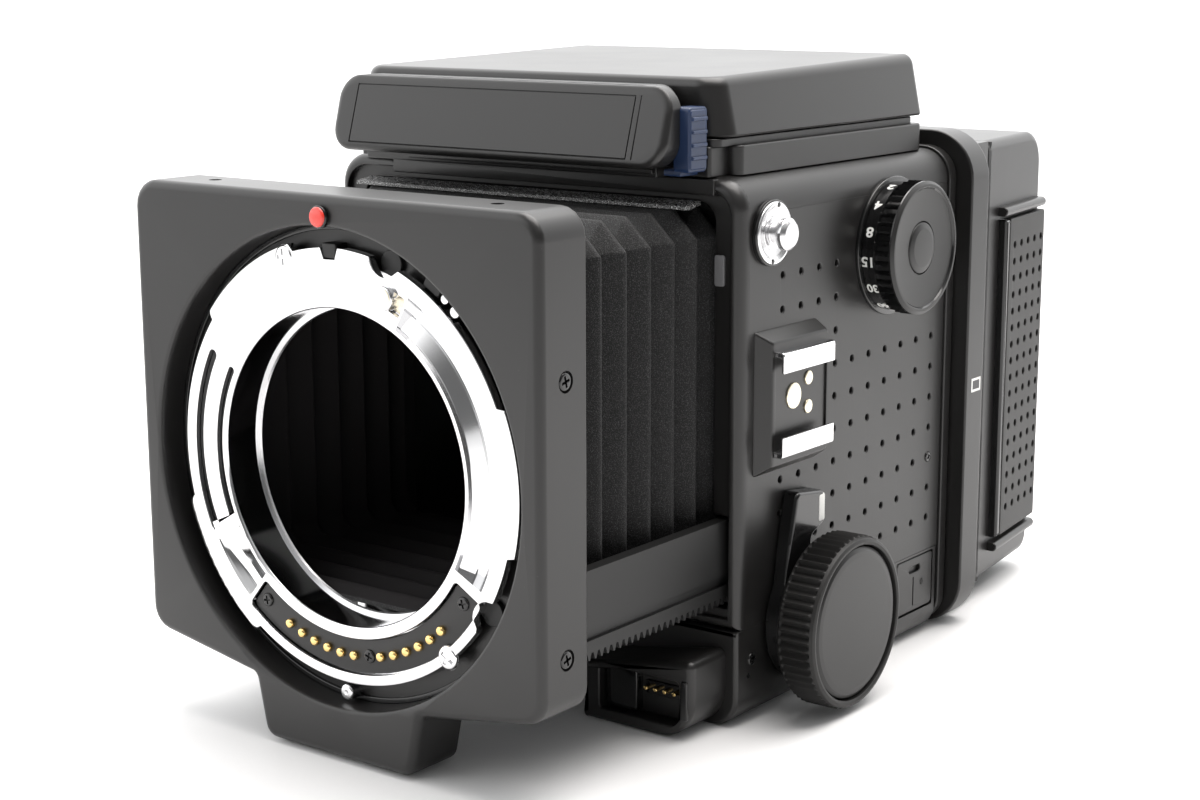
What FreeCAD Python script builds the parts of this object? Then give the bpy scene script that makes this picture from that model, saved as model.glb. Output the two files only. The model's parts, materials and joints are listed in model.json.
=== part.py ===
# Medium format single lens reflex camera with a focusing bellows, shown without its lens.
# Millimetres. X is the operator's left to right reversed (+X is the operator's left side),
# +Y runs from the lens mount to the film, +Z is up. The origin is the mouth of the tripod socket.
import FreeCAD, Part
import math
import os
import Sketcher

doc = FreeCAD.newDocument("BellowsCamera")
sheet = doc.addObject("Spreadsheet::Sheet", "Sizes")
nodes = []


class Dim:
    """A length that knows both its number and the expression that the document keeps."""

    def __init__(self, text, value):
        self.text = text
        self.value = value

    def __add__(self, other):
        return join(self, "+", other)

    def __sub__(self, other):
        return join(self, "-", other)

    def __mul__(self, other):
        return join(self, "*", other)

    def __truediv__(self, other):
        return join(self, "/", other)

    def __radd__(self, other):
        return join(other, "+", self)

    def __rsub__(self, other):
        return join(other, "-", self)

    def __rmul__(self, other):
        return join(other, "*", self)

    def __neg__(self):
        return join(0.0, "-", self)


WORK = {"+": lambda a, b: a + b, "-": lambda a, b: a - b, "*": lambda a, b: a * b, "/": lambda a, b: a / b}


def dim(value):
    return value if isinstance(value, Dim) else Dim(repr(float(value)), float(value))


def join(left, sign, right):
    left, right = dim(left), dim(right)
    return Dim("(%s %s %s)" % (left.text, sign, right.text), WORK[sign](left.value, right.value))


def size(name, value):
    """Writes one driving dimension to the sheet and gives it back as a Dim."""
    size.rows += 1
    sheet.set("A%d" % size.rows, name)
    sheet.set("B%d" % size.rows, str(value))
    sheet.setAlias("B%d" % size.rows, name)
    return Dim("Sizes." + name, float(value))


size.rows = 0

# Body
body_half = size("body_half_width", 52.0)
body_front = size("body_front", 40.8)
body_back = size("body_back", 41.0)
body_top = size("body_top", 109.0)
body_shoulder = size("body_shoulder_radius", 6.5)
axis_height = size("optical_axis_height", 56.5)
base_height = size("base_height", 20.0)
base_edge = size("base_edge_radius", 6.0)
base_wall = size("base_wall", 2.7)
base_floor = size("base_floor", 3.0)
frame_depth = size("front_frame_depth", 3.1)
frame_step = size("front_frame_step", 1.2)
frame_strip = size("front_frame_strip", 2.3)
window_head = size("bellows_window_head_room", 0.8)
window_corner = size("bellows_window_corner", 4.0)
back_wall = size("back_wall", 2.5)
cover_skin = size("side_cover_thickness", 1.4)
cover_edge = size("side_cover_edge_drop", 0.5)
chamber_half = body_half - size("mirror_chamber_side", 14.0)
chamber_floor = base_height + size("mirror_chamber_floor", 4.2)
chamber_roof = body_top - size("mirror_chamber_roof", 6.0)
chamber_corner = size("mirror_chamber_corner", 2.0)
small_gap = size("small_gap", 0.3)
slide_fit = size("running_fit", 0.05)

# Bellows and focusing rails
travel = size("focus_travel", 45.5)
rail_outer = body_half - size("rail_inset", 3.5)
rail_width = size("rail_width", 2.6)
rail_play = size("rail_side_play", 0.4)
rail_over_run = size("rail_over_run", 1.5)
bellows_half = rail_outer - size("bellows_to_rail", 3.5)
bellows_top = body_top - size("bellows_top_drop", 5.5)
bellows_low = chamber_floor + size("bellows_bottom_rise", 1.0)
bellows_pitch = size("bellows_fold_pitch", 7.6)
bellows_fold = size("bellows_fold_depth", 5.0)
bellows_skin = size("bellows_cloth", 1.0)
bellows_chamfer = size("bellows_ridge_chamfer", 6.0)
bellows_seat = size("bellows_seat_depth", 3.9)
shaft_y = size("focus_shaft_distance", 17.8)
shaft_z = base_height - size("focus_shaft_drop", 1.0)
shaft_radius = size("focus_shaft_radius", 3.0)
rail_top = shaft_z + size("rail_top_rise", 23.2)
groove_top = shaft_z + size("rail_groove_top_rise", 12.0)
groove_low = shaft_z + size("rail_groove_bottom_rise", 10.0)
groove_depth = size("rail_groove_depth", 0.8)
rail_rear = size("rail_rear_end", 10.5)
gear_module = size("gear_module", 0.6)
gear_backlash = size("gear_backlash", 0.07)
gear_side = size("pinion_side_step", 0.2)
pinion_teeth = 23
tooth_angle = math.radians(20)
tooth_root = 1.25

# Front standard and lens mount
front_depth = size("front_depth", 13.1)
front_rest = size("front_gap_when_closed", 0.6)
face_y = body_front + front_rest + travel + front_depth
front_half = body_half - size("front_side_step", 1.34)
front_top = body_top - size("front_top_step", 0.9)
front_corner = size("front_corner_radius", 5.3)
front_side_low = size("front_side_bottom", 17.8)
front_side_corner = size("front_bottom_corner_radius", 5.0)
front_mid_low = size("front_middle_bottom", 13.0)
front_edge = size("front_edge_round", 1.6)
chin_half = size("chin_half_width", 21.6)
chin_low_half = chin_half - size("chin_draw_in", 2.6)
chin_low = size("chin_bottom", 0.7)
chin_corner = size("chin_corner_radius", 3.0)
chin_depth = size("chin_depth", 11.0)
front_rim = size("front_rim", 5.0)
rim_corner = size("front_pocket_corner", 3.0)
mouth_radius = size("mouth_radius", 45.7)
mouth_bevel = size("mouth_bevel", 0.9)
mouth_depth = size("mouth_depth", 6.5)
mount_web = size("mount_web", 5.2)
bellows_ridge = face_y - mouth_depth - mount_web - size("bellows_first_ridge", 5.9)
mount_set_back = size("mount_set_back", 3.2)
flange_radius = size("mount_flange_radius", 41.6)
lug_radius = flange_radius + size("mount_lug_reach", 1.6)
lug_root = size("mount_lug_root", 1.0)
lug_thick = size("mount_lug_thickness", 1.6)
throat_radius = size("lens_throat_radius", 30.3)
tube_radius = throat_radius + size("mount_tube_wall", 2.5)
tube_rear = size("mount_tube_depth", 11.9)
contact_circle = tube_radius + size("contact_circle_step", 3.3)
contact_half = size("contact_block_half_width", 3.4)
contact_play = size("contact_block_play", 0.1)
contact_face = mount_set_back + size("contact_face_sink", 0.8)
contact_seat = size("contact_seat_depth", 2.6)
contact_pin = size("contact_pin_radius", 0.95)
contact_proud = size("contact_pin_height", 0.9)
index_radius = size("index_mark_radius", 2.1)
index_rise = mouth_radius + size("index_mark_rise", 1.9)
index_foot = size("index_mark_foot", 0.4)
index_high = size("index_mark_height", 1.5)
lock_pin_radius = size("lens_lock_pin_radius", 1.6)
lock_pin_high = size("lens_lock_pin_height", 3.2)
lock_pin_drop = flange_radius + size("lens_lock_pin_drop", 2.1)

# Knobs, dials and levers
knob_radius = size("knob_radius", 17.7)
knob_wall = size("knob_rim_wall", 1.9)
knob_web = size("knob_web", 2.0)
knob_bevel = size("knob_bevel", 0.7)
knob_inner = body_half + size("knob_stand_off", 5.5)
knob_outer = knob_inner + size("knob_depth", 8.5)
knob_ribs = 40
rib_depth = size("knob_rib_depth", 0.6)
rib_half = size("knob_rib_half_gap", 0.6)
disc_sink = size("knob_disc_sink", 0.3)
disc_bevel = size("knob_disc_bevel", 0.7)
boss_radius = size("knob_boss_radius", 6.0)
boss_outer = knob_inner - small_gap
hub_radius = size("lock_hub_radius", 13.5)
hub_inner = body_half + size("lock_hub_gap", 0.4)
hub_outer = hub_inner + size("lock_hub_thickness", 4.0)
tongue_drop = size("lock_tongue_drop", 0.8)
tongue_high = size("lock_tongue_height", 26.8)
tongue_half = size("lock_tongue_half_width", 5.3)
tongue_corner = size("lock_tongue_corner", 1.5)
dial_y = size("dial_distance", 16.5)
dial_z = body_top - size("dial_drop", 18.4)
dial_skirt = size("dial_skirt_radius", 13.5)
dial_ring = dial_skirt + size("dial_ring_step", 1.1)
dial_knurl = dial_skirt + size("dial_knurl_step", 0.45)
dial_dish = dial_skirt - size("dial_lip", 1.1)
dial_button = size("dial_button_radius", 5.4)
dial_foot = size("dial_ring_thickness", 0.8)
dial_waist = body_half + size("dial_skirt_height", 5.0)
dial_face = dial_waist + size("dial_head_height", 3.3)
dial_post = size("dial_post_radius", 3.0)
dial_well = size("dial_well_depth", 1.3)
dial_cap_deep = size("dial_cap_depth", 1.9)
dial_dish_deep = size("dial_dish_depth", 0.6)
dial_notches = 36
notch_depth = size("dial_notch_depth", 0.55)
notch_half = size("dial_notch_half_gap", 0.6)
cock_y = size("cocking_pivot_distance", 12.0)
cock_z = body_top - size("cocking_pivot_drop", 31.0)
cock_hub = size("cocking_hub_radius", 11.0)
cock_boss = size("cocking_boss_radius", 4.5)
cock_inner = body_half + size("cocking_hub_gap", 0.4)
cock_outer = cock_inner + size("cocking_hub_height", 7.8)
cock_roof = size("cocking_hub_roof", 0.5)
cock_reach = size("cocking_lever_reach", 42.0)
cock_arm = size("cocking_arm_thickness", 2.6)
cock_arm_root = size("cocking_arm_root_half_width", 8.5)
cock_arm_tip = size("cocking_arm_tip_half_width", 5.25)
cock_grip = size("cocking_grip_height", 3.0)
cock_grip_length = size("cocking_grip_length", 14.0)
cock_grip_wide = size("cocking_grip_thickness", 3.6)

# Accessory shoe and strap lugs
shoe_front = size("shoe_front", 33.7)
shoe_rear = shoe_front - size("shoe_length", 20.5)
shoe_low = size("shoe_bottom", 52.5)
shoe_high = shoe_low + size("shoe_height", 24.6)
shoe_flare = size("shoe_flare", 2.0)
shoe_face = body_half + size("shoe_stand_off", 3.0)
shoe_sink = size("shoe_channel_sink", 0.4)
shoe_stop = size("shoe_front_stop", 1.2)
shoe_channel = size("shoe_channel_half", 9.35)
shoe_lip = shoe_channel - size("shoe_lip_width", 3.0)
shoe_rail_half = shoe_channel + size("shoe_rail_wall", 1.15)
shoe_rail_top = shoe_face + size("shoe_rail_height", 2.3)
shoe_rail_end = size("shoe_rail_end_gap", 0.75)
shoe_lip_thick = size("shoe_lip_thickness", 0.7)
shoe_contact = size("shoe_contact_radius", 2.6)
shoe_contact_small = size("shoe_small_contact_radius", 1.4)
shoe_contact_high = size("shoe_contact_height", 0.3)
shoe_contact_back = size("shoe_contact_distance", 8.2)
shoe_contact_step = size("shoe_small_contact_step", 5.5)
shoe_contact_pitch = size("shoe_small_contact_pitch", 5.8)
shoe_contact_lift = size("shoe_contact_lift", 0.6)
lug_y = body_front - size("strap_lug_set_back", 10.2)
lug_z = body_top - size("strap_lug_drop", 11.0)
lug_dish = size("strap_lug_dish_radius", 6.5)
lug_neck = size("strap_lug_neck_radius", 1.7)
lug_head = size("strap_lug_head_radius", 3.2)
lug_rim = size("strap_lug_rim_height", 1.4)
lug_floor = size("strap_lug_floor", 0.7)
lug_neck_high = size("strap_lug_neck_height", 2.2)
lug_high = size("strap_lug_height", 5.0)
lug_bevel = size("strap_lug_bevel", 0.6)

# Base, tripod socket, battery and release
lobe_front = body_front + size("lobe_reach", 11.7)
lobe_half = body_half - size("lobe_side_step", 2.5)
lobe_inner = lobe_half - size("lobe_width", 26.7)
lobe_high = size("lobe_outer_height", 16.7)
lobe_low = size("lobe_inner_height", 11.9)
lobe_round = size("lobe_round", 12.0)
port_right = lobe_half - size("cable_port_wall", 3.1)
port_left = port_right - size("cable_port_width", 19.4)
port_low = size("cable_port_bottom", 2.8)
port_high = size("cable_port_top", 12.0)
port_depth = size("cable_port_depth", 4.0)
port_corner = size("cable_port_corner", 1.0)
port_pins = 4
port_pitch = size("cable_pin_pitch", 2.27)
port_pin = size("cable_pin_radius", 0.5)
port_pin_high = size("cable_pin_height", 2.2)
port_pin_start = port_right - size("cable_pin_inset", 9.7)
port_pin_z = size("cable_pin_level", 8.3)
bush_radius = size("tripod_bush_radius", 8.0)
bush_height = size("tripod_bush_height", 12.5)
bush_wall = size("tripod_boss_wall", 3.0)
bush_roof = size("tripod_boss_roof", 1.5)
thread_radius = size("tripod_thread_radius", 4.76)
thread_depth = size("tripod_thread_depth", 10.0)
cell_radius = size("battery_bore_radius", 7.2)
cell_wall = size("battery_holder_wall", 1.2)
cell_end = size("battery_holder_end", 2.0)
cell_y = body_back - size("battery_set_back", 10.0)
cell_z = base_floor + cell_radius + size("battery_bore_rise", 2.0)
cell_depth = size("battery_bore_depth", 28.0)
door_half = size("battery_door_half_width", 8.0)
door_thick = size("battery_door_thickness", 2.4)
door_top = base_height - size("battery_door_top_drop", 0.8)
door_axis = size("battery_door_axis_height", 8.2)
door_gap = size("battery_door_gap", 0.25)
door_pin = size("battery_door_pin_radius", 0.6)
door_pin_length = size("battery_door_pin_length", 1.3)
button_x = lobe_half - size("release_inset", 13.5)
button_z = size("release_height", 7.2)
button_radius = size("release_button_radius", 3.6)
button_proud = size("release_button_proud", 3.4)
button_stem = size("release_button_stem", 2.5)
button_guide = size("release_guide_depth", 6.0)
collar_radius = size("release_collar_radius", 5.8)
collar_gap = size("release_collar_gap", 0.1)
collar_bore = button_radius + size("release_collar_play", 0.2)
collar_low = size("release_collar_edge", 1.7)
collar_high = size("release_collar_crown", 2.3)
collar_tab = size("release_tab_half_width", 1.2)
collar_tab_high = size("release_tab_height", 1.0)

# Mirror and screen
mirror_y = body_back - size("mirror_axis_set_back", 5.0)
mirror_z = body_top - size("mirror_axis_drop", 14.0)
mirror_rod = size("mirror_rod_radius", 1.5)
mirror_bearing = size("mirror_bearing_depth", 2.0)
mirror_end_play = size("mirror_end_play", 0.1)
mirror_length = size("mirror_length", 77.0)
mirror_half = chamber_half - size("mirror_side_gap", 4.0)
mirror_thick = size("mirror_glass_thickness", 1.8)
mirror_frame = size("mirror_frame_thickness", 1.2)
mirror_margin = size("mirror_side_margin", 1.0)
mirror_start = size("mirror_top_margin", 3.0)
screen_half = chamber_half - size("screen_side_gap", 2.0)
screen_front = size("screen_front", 30.6)
screen_back = body_back - size("screen_back_gap", 4.0)
screen_ledge = body_top - size("screen_ledge_drop", 4.4)
screen_ledge_width = size("screen_ledge_width", 2.2)
screen_thick = size("screen_thickness", 1.8)
screen_play = size("screen_play", 0.2)

# Finder
finder_half = body_half - size("finder_side_step", 4.5)
finder_front = body_half - size("finder_nose_side_step", 7.0)
finder_nose = body_front + size("finder_nose_reach", 0.4)
finder_start = size("finder_base_front", 35.0)
finder_back = body_back - size("finder_base_set_back", 3.5)
finder_corner = size("finder_base_corner", 2.0)
finder_height = body_top + size("finder_base_height", 5.8)
finder_step = finder_height + size("finder_step_height", 1.4)
finder_step_in = size("finder_step_inset", 1.6)
finder_nose_in = size("finder_step_nose_inset", 1.0)
finder_back_in = size("finder_step_back_inset", 1.2)
ear_wall = size("hinge_ear_wall", 0.5)
ear_thick = size("hinge_ear_thickness", 1.2)
ear_play = size("hinge_ear_play", 0.2)
lid_low = finder_step + small_gap
lid_front = finder_nose - size("lid_front_set_back", 0.9)
lid_back = finder_back + size("lid_back_reach", 0.7)
lid_top_half = finder_half - size("lid_side_lean", 2.5)
lid_front_top = lid_low + size("lid_front_height", 11.2)
lid_back_top = lid_low + size("lid_back_height", 13.1)
lid_back_wall = size("lid_back_wall_height", 9.2)
lid_back_lean = size("lid_back_wall_lean", 1.5)
lid_back_draw = size("lid_back_top_draw_in", 5.0)
lid_back_round = size("lid_back_round", 4.0)
lid_top_round = size("lid_top_back_round", 3.0)
lid_front_round = size("lid_front_round", 1.5)
lid_wall = size("lid_wall", 1.8)
lid_inner_round = size("lid_inner_round", 2.5)
lid_ceiling_draw = size("lid_ceiling_draw_in", 1.0)
lid_ceiling_drop = size("lid_ceiling_drop", 0.4)
flap_hinge_x = screen_half - size("side_flap_hinge_inset", 1.1)
flap_hinge_z = finder_step + size("flap_hinge_rise", 1.8)
flap_thick = size("flap_thickness", 1.0)
flap_width = size("side_flap_width", 27.0)
flap_corner = size("side_flap_corner", 2.0)
flap_front = size("side_flap_front", 25.5)
flap_back_width = size("back_flap_width", 25.0)
flap_back_y = finder_back - size("back_flap_hinge_set_back", 3.3)
flap_back = flap_back_y - size("side_flap_end_gap", 1.2)
flap_rod = size("flap_rod_radius", 0.6)
flap_rod_reach = size("flap_rod_reach", 1.3)
flap_ear_inset = size("back_flap_ear_inset", 3.2)
flap_side_gap = size("back_flap_side_gap", 4.3)
lens_arm = size("magnifier_arm", 34.0)
lens_arm_half = size("magnifier_arm_half_width", 8.3)
lens_arm_lap = size("magnifier_arm_lap", 5.0)
lens_radius = size("magnifier_radius", 13.0)
lens_rim = size("magnifier_rim", 1.8)
lens_edge = size("magnifier_lens_edge_half", 0.3)
lens_hinge_y = size("magnifier_hinge_distance", 14.6)
lens_rod = size("magnifier_rod_radius", 0.8)
lens_z = lid_low + size("magnifier_rise", 7.4)
lens_thick = size("magnifier_thickness", 2.2)
lens_ear_x = lens_arm_half + size("magnifier_ear_step", 1.2)
lens_ear_half = size("magnifier_ear_half_thickness", 0.7)
lens_ear_wall = size("magnifier_ear_wall", 0.8)
lens_rod_play = size("magnifier_rod_end_play", 0.4)
hump_half = body_half - size("name_block_side_step", 9.5)
hump_low = body_top + size("name_block_rise", 2.0)
hump_high = hump_low + size("name_block_height", 15.3)
hump_front = body_front + size("name_block_reach", 13.2)
hump_lean = size("name_block_lean", 4.7)
hump_back = body_front + size("name_block_back_gap", 0.9)
hump_corner = size("name_block_corner", 5.0)
plate_left = hump_half - size("plate_right_hand_margin", 5.5)
plate_right = hump_half - size("plate_left_hand_margin", 8.5)
plate_low = hump_low + size("plate_margin", 1.0)
plate_high = plate_low + size("plate_height", 13.0)
plate_depth = size("plate_depth", 0.6)
plate_end = size("plate_end_gap", 0.2)
latch_inner = hump_half - size("latch_overlap", 1.5)
latch_outer = latch_inner + size("latch_thickness", 3.7)
latch_front = body_front + size("latch_reach", 6.7)
latch_low = hump_low - size("latch_drop", 0.8)
latch_high = latch_low + size("latch_height", 12.3)
latch_corner = size("latch_corner", 1.0)
latch_back = finder_nose + size("latch_back_gap", 0.2)
latch_stroke = size("latch_stroke_room", 2.6)
latch_ridge = size("latch_ridge", 0.6)
latch_ridges = 4
latch_margin = size("latch_ridge_margin", 1.5)
latch_inset = size("latch_ridge_inset", 0.4)

# Revolving back and roll film magazine
flange_half = body_half + size("back_flange_side_step", 0.6)
flange_top = body_top + size("back_flange_top_step", 0.6)
flange_low = size("back_flange_bottom", 1.0)
flange_corner = size("back_flange_corner", 7.0)
flange_thick = size("back_flange_thickness", 3.3)
ring_radius = flange_half - size("turning_ring_inset", 3.8)
ring_bore = ring_radius - size("turning_ring_wall", 3.6)
gate_radius = ring_bore - size("back_opening_step", 1.2)
adapter_half = size("adapter_half_size", 56.3)
adapter_corner = size("adapter_corner", 10.7)
adapter_thick = size("adapter_thickness", 8.5)
adapter_frame = size("adapter_frame_depth", 3.0)
adapter_bevel = size("adapter_bevel", 1.2)
adapter_rear = body_back + flange_thick + small_gap + adapter_thick
film_half = size("film_gate_half_width", 28.0)
film_tall = size("film_gate_half_height", 34.75)
film_margin = size("film_gate_margin", 1.5)
case_half = adapter_half - size("magazine_side_step", 5.8)
case_back_half = case_half - size("magazine_draw_in", 6.6)
case_tall = adapter_half - size("magazine_top_step", 3.9)
case_split = adapter_rear + size("magazine_front_depth", 12.9)
case_back = case_split + size("magazine_door_depth", 38.4)
case_wall = size("magazine_wall", 2.2)
case_top_round = size("magazine_top_round", 8.0)
case_low_round = size("magazine_bottom_round", 4.5)
case_edge = size("magazine_back_edge", 2.5)
film_deck = case_split - size("film_deck_depth", 6.0)
slide_tall = film_tall + size("dark_slide_margin", 1.95)
slide_reach = film_half + size("dark_slide_overlap", 1.6)
slide_thick = size("dark_slide_thickness", 0.5)
slide_set_back = size("dark_slide_set_back", 1.9)
slide_play = size("dark_slide_side_play", 0.15)
slide_edge_play = size("dark_slide_edge_play", 0.2)
slide_end_play = size("dark_slide_end_play", 0.4)
bow_tall = size("dark_slide_bow_half_height", 16.0)
bow_out = size("dark_slide_bow_reach", 9.5)
bow_in = size("dark_slide_bow_start", 1.0)
bow_bar = size("dark_slide_bow_bar", 2.0)
bow_end = size("dark_slide_bow_end", 4.0)
bow_thick = size("dark_slide_bow_half_thickness", 1.1)
bow_corner = size("dark_slide_bow_corner", 2.5)
insert_lift = size("insert_lift", 0.2)
cheek_inner = size("insert_cheek_inner", 34.4)
cheek_thick = size("insert_cheek_thickness", 2.0)
cheek_tall = size("insert_cheek_half_height", 48.5)
cheek_depth = size("insert_cheek_depth", 30.0)
cheek_waist = size("insert_cheek_waist", 8.0)
cheek_corner = size("insert_cheek_corner", 6.0)
cheek_fillet = size("insert_cheek_inner_corner", 4.0)
web_tall = size("pressure_plate_half_height", 22.0)
web_thick = size("pressure_plate_thickness", 1.4)
spool_y = film_deck + size("spool_set_back", 20.0)
spool_offset = size("spool_offset", 35.5)
spool_flange = size("spool_flange_radius", 12.7)
spool_core = size("spool_core_radius", 5.5)
spool_half = cheek_inner - size("spool_end_gap", 1.6)
spool_bore = size("spool_bore_radius", 2.35)
spool_plate = size("spool_flange_thickness", 1.2)
stud_length = size("spool_stud_length", 4.0)
case_hinge_x = case_half - size("magazine_hinge_inset", 0.8)
case_hinge_y = case_split + small_gap / 2
hinge_margin = size("magazine_hinge_margin", 6.0)
hinge_end_play = size("magazine_hinge_end_play", 0.5)
knuckle = size("magazine_knuckle_radius", 1.5)
knuckle_pin = size("magazine_hinge_pin_radius", 0.7)
panel_proud = size("grip_panel_proud", 2.0)
panel_front = case_split + size("grip_panel_set_back", 17.0)
panel_end = size("grip_panel_end_gap", 1.6)
panel_low = axis_height - size("grip_panel_down", 43.0)
panel_high = axis_height + size("grip_panel_up", 33.5)
ledge_proud = size("ledge_proud", 2.4)
ledge_front = case_split + size("ledge_set_back", 8.6)
ledge_end = size("ledge_end_gap", 2.0)
ledge_height = size("ledge_height", 2.6)
ledge_low_gap = size("ledge_gap_under_panel", 0.9)
ledge_high_gap = size("ledge_gap_over_panel", 0.6)
doc.recompute()


def vec(u, v):
    return FreeCAD.Vector(dim(u).value, dim(v).value, 0)


def circle(u, v, radius):
    return ("circle", u, v, radius)


def outline(*corners):
    """A closed outline. A corner is (u, v), or (u, v, radius) where it is rounded."""
    return ("corners", corners)


def rect(u0, v0, u1, v1, *radius):
    return outline((u0, v0) + radius, (u1, v0) + radius, (u1, v1) + radius, (u0, v1) + radius)


def sector(u, v, inner, outer, start, end):
    """A piece of a ring between two angles, in degrees."""
    return ("sector", u, v, inner, outer, start, end)


def mirrored(corners):
    """The same corners on the other side of the middle plane."""
    return [(-dim(c[0]),) + tuple(c[1:]) for c in reversed(corners)]


class Drawing:
    """Collects a sketch's geometry, its constraints and the expressions that drive them."""

    def __init__(self):
        self.geometry = []
        self.helpers = []
        self.constraints = []
        self.drives = []

    def add(self, shape, helper=False):
        self.geometry.append(shape)
        if helper:
            self.helpers.append(len(self.geometry) - 1)
        return len(self.geometry) - 1

    def hold(self, *terms, drive=None):
        self.constraints.append(Sketcher.Constraint(*terms))
        if drive is not None:
            self.drives.append((len(self.constraints) - 1, drive))

    def place(self, index, point, u, v):
        u, v = dim(u), dim(v)
        self.hold("DistanceX", -1, 1, index, point, u.value, drive=u.text)
        self.hold("DistanceY", -1, 1, index, point, v.value, drive=v.text)

    def radius(self, index, value):
        value = dim(value)
        self.hold("Radius", index, value.value, drive=value.text)

    def circle(self, u, v, radius):
        ring = self.add(Part.Circle(vec(u, v), FreeCAD.Vector(0, 0, 1), dim(radius).value))
        self.place(ring, 3, u, v)
        self.radius(ring, radius)

    def sector(self, u, v, inner, outer, start, end):
        centre = vec(u, v)
        up = FreeCAD.Vector(0, 0, 1)
        first, last = math.radians(start), math.radians(end)
        arcs = []
        for radius in (inner, outer):
            full = Part.Circle(centre, up, dim(radius).value)
            arcs.append(self.add(Part.ArcOfCircle(full, first, last)))
        self.place(arcs[0], 3, u, v)
        self.hold("Coincident", arcs[1], 3, arcs[0], 3)
        self.radius(arcs[0], inner)
        self.radius(arcs[1], outer)
        for angle, end_point in ((first, 1), (last, 2)):
            way = FreeCAD.Vector(math.cos(angle), math.sin(angle), 0)
            near = centre + way * dim(inner).value
            far = centre + way * dim(outer).value
            side = self.add(Part.LineSegment(near, far))
            self.hold("Coincident", side, 1, arcs[0], end_point)
            self.hold("Coincident", side, 2, arcs[1], end_point)
            self.hold("PointOnObject", arcs[0], 3, side)
            self.hold("Angle", side, angle)

    def corners(self, corners):
        points = [vec(c[0], c[1]) for c in corners]
        count = len(points)
        begins, ends, arcs = list(points), list(points), [None] * count
        for i, corner in enumerate(corners):
            if len(corner) < 3:
                continue
            back = (points[i - 1] - points[i]).normalize()
            ahead = (points[(i + 1) % count] - points[i]).normalize()
            half = back.getAngle(ahead) / 2
            radius = dim(corner[2]).value
            ends[i] = points[i] + back * (radius / math.tan(half))
            begins[i] = points[i] + ahead * (radius / math.tan(half))
            centre = points[i] + (back + ahead).normalize() * (radius / math.sin(half))
            middle = centre + (points[i] - centre).normalize() * radius
            arcs[i] = Part.Arc(ends[i], middle, begins[i])
            if back.cross(ahead).z > 0:
                arcs[i] = Part.Arc(begins[i], middle, ends[i])
        sides = [self.add(Part.LineSegment(begins[i], ends[(i + 1) % count])) for i in range(count)]
        for i, corner in enumerate(corners):
            if arcs[i] is None:
                self.place(sides[i], 1, corner[0], corner[1])
                self.hold("Coincident", sides[i - 1], 2, sides[i], 1)
                continue
            arc = self.add(arcs[i])
            tip = self.add(Part.Point(points[i]), helper=True)
            self.place(tip, 1, corner[0], corner[1])
            self.hold("PointOnObject", tip, 1, sides[i])
            self.hold("PointOnObject", tip, 1, sides[i - 1])
            arrives = (arcs[i].StartPoint - ends[i]).Length < (arcs[i].StartPoint - begins[i]).Length
            self.hold("Tangent", sides[i - 1], 2, arc, 1 if arrives else 2)
            self.hold("Tangent", sides[i], 1, arc, 2 if arrives else 1)
            self.radius(arc, corner[2])

    def write(self, sketch):
        sketch.addGeometry(self.geometry, False)
        for index in self.helpers:
            sketch.toggleConstruction(index)
        sketch.addConstraint(self.constraints)
        for index, text in self.drives:
            sketch.setExpression("Constraints[%d]" % index, text)


def plane_of(body, role):
    return next(f for f in body.Origin.OriginFeatures if f.Role == role)


def draw(body, plane, shift, outlines):
    """A sketch on one of the body's own planes, moved by shift = (along u, along v, along normal)."""
    sketch = body.newObject("Sketcher::SketchObject", body.Label + "_sketch")
    sketch.AttachmentSupport = [(plane_of(body, plane + "_Plane"), "")]
    sketch.MapMode = "FlatFace"
    for letter, value in zip("xyz", shift):
        sketch.setExpression("AttachmentOffset.Base." + letter, dim(value).text)
    drawing = Drawing()
    for kind, *terms in outlines:
        if kind == "corners":
            drawing.corners(*terms)
        elif kind == "circle":
            drawing.circle(*terms)
        else:
            drawing.sector(*terms)
    drawing.write(sketch)
    return sketch


def piece(name):
    """A sub-part of its own, built up from sketches and features."""
    body = doc.addObject("PartDesign::Body", name)
    body.Label = name
    body.Placement = FreeCAD.Placement()
    nodes.append(body)
    return body


def pad(body, plane, low, high, *outlines):
    """Adds material from low to high along the plane's world axis."""
    lift = -dim(high) if plane == "XZ" else dim(low)
    sketch = draw(body, plane, (0, 0, lift), outlines)
    feature = body.newObject("PartDesign::Pad", body.Label + "_pad")
    feature.Profile = sketch
    feature.setExpression("Length", (dim(high) - dim(low)).text)
    return feature


def cut(body, plane, low, high, *outlines):
    """Takes material away from low to high along the plane's world axis."""
    lift = -dim(low) if plane == "XZ" else dim(high)
    sketch = draw(body, plane, (0, 0, lift), outlines)
    feature = body.newObject("PartDesign::Pocket", body.Label + "_cut")
    feature.Profile = sketch
    feature.setExpression("Length", (dim(high) - dim(low)).text)
    return feature


def turn(body, way, at, profile, groove=False):
    """Turns a profile round an axis along X, Y or Z. Profile corners are (along, radius)."""
    if way == "X":
        plane, shift, axis = "XY", (0, at[0], at[1]), "H_Axis"
    elif way == "Y":
        plane, shift, axis = "XY", (at[0], 0, at[1]), "V_Axis"
    else:
        plane, shift, axis = "XZ", (at[0], 0, -dim(at[1])), "V_Axis"
    swapped = profile if way == "X" else [(c[1], c[0]) + tuple(c[2:]) for c in profile]
    sketch = draw(body, plane, shift, [outline(*swapped)])
    kind = "PartDesign::Groove" if groove else "PartDesign::Revolution"
    feature = body.newObject(kind, body.Label + "_turn")
    feature.Profile = sketch
    feature.ReferenceAxis = (sketch, [axis])
    feature.Angle = 360
    return feature


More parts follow.
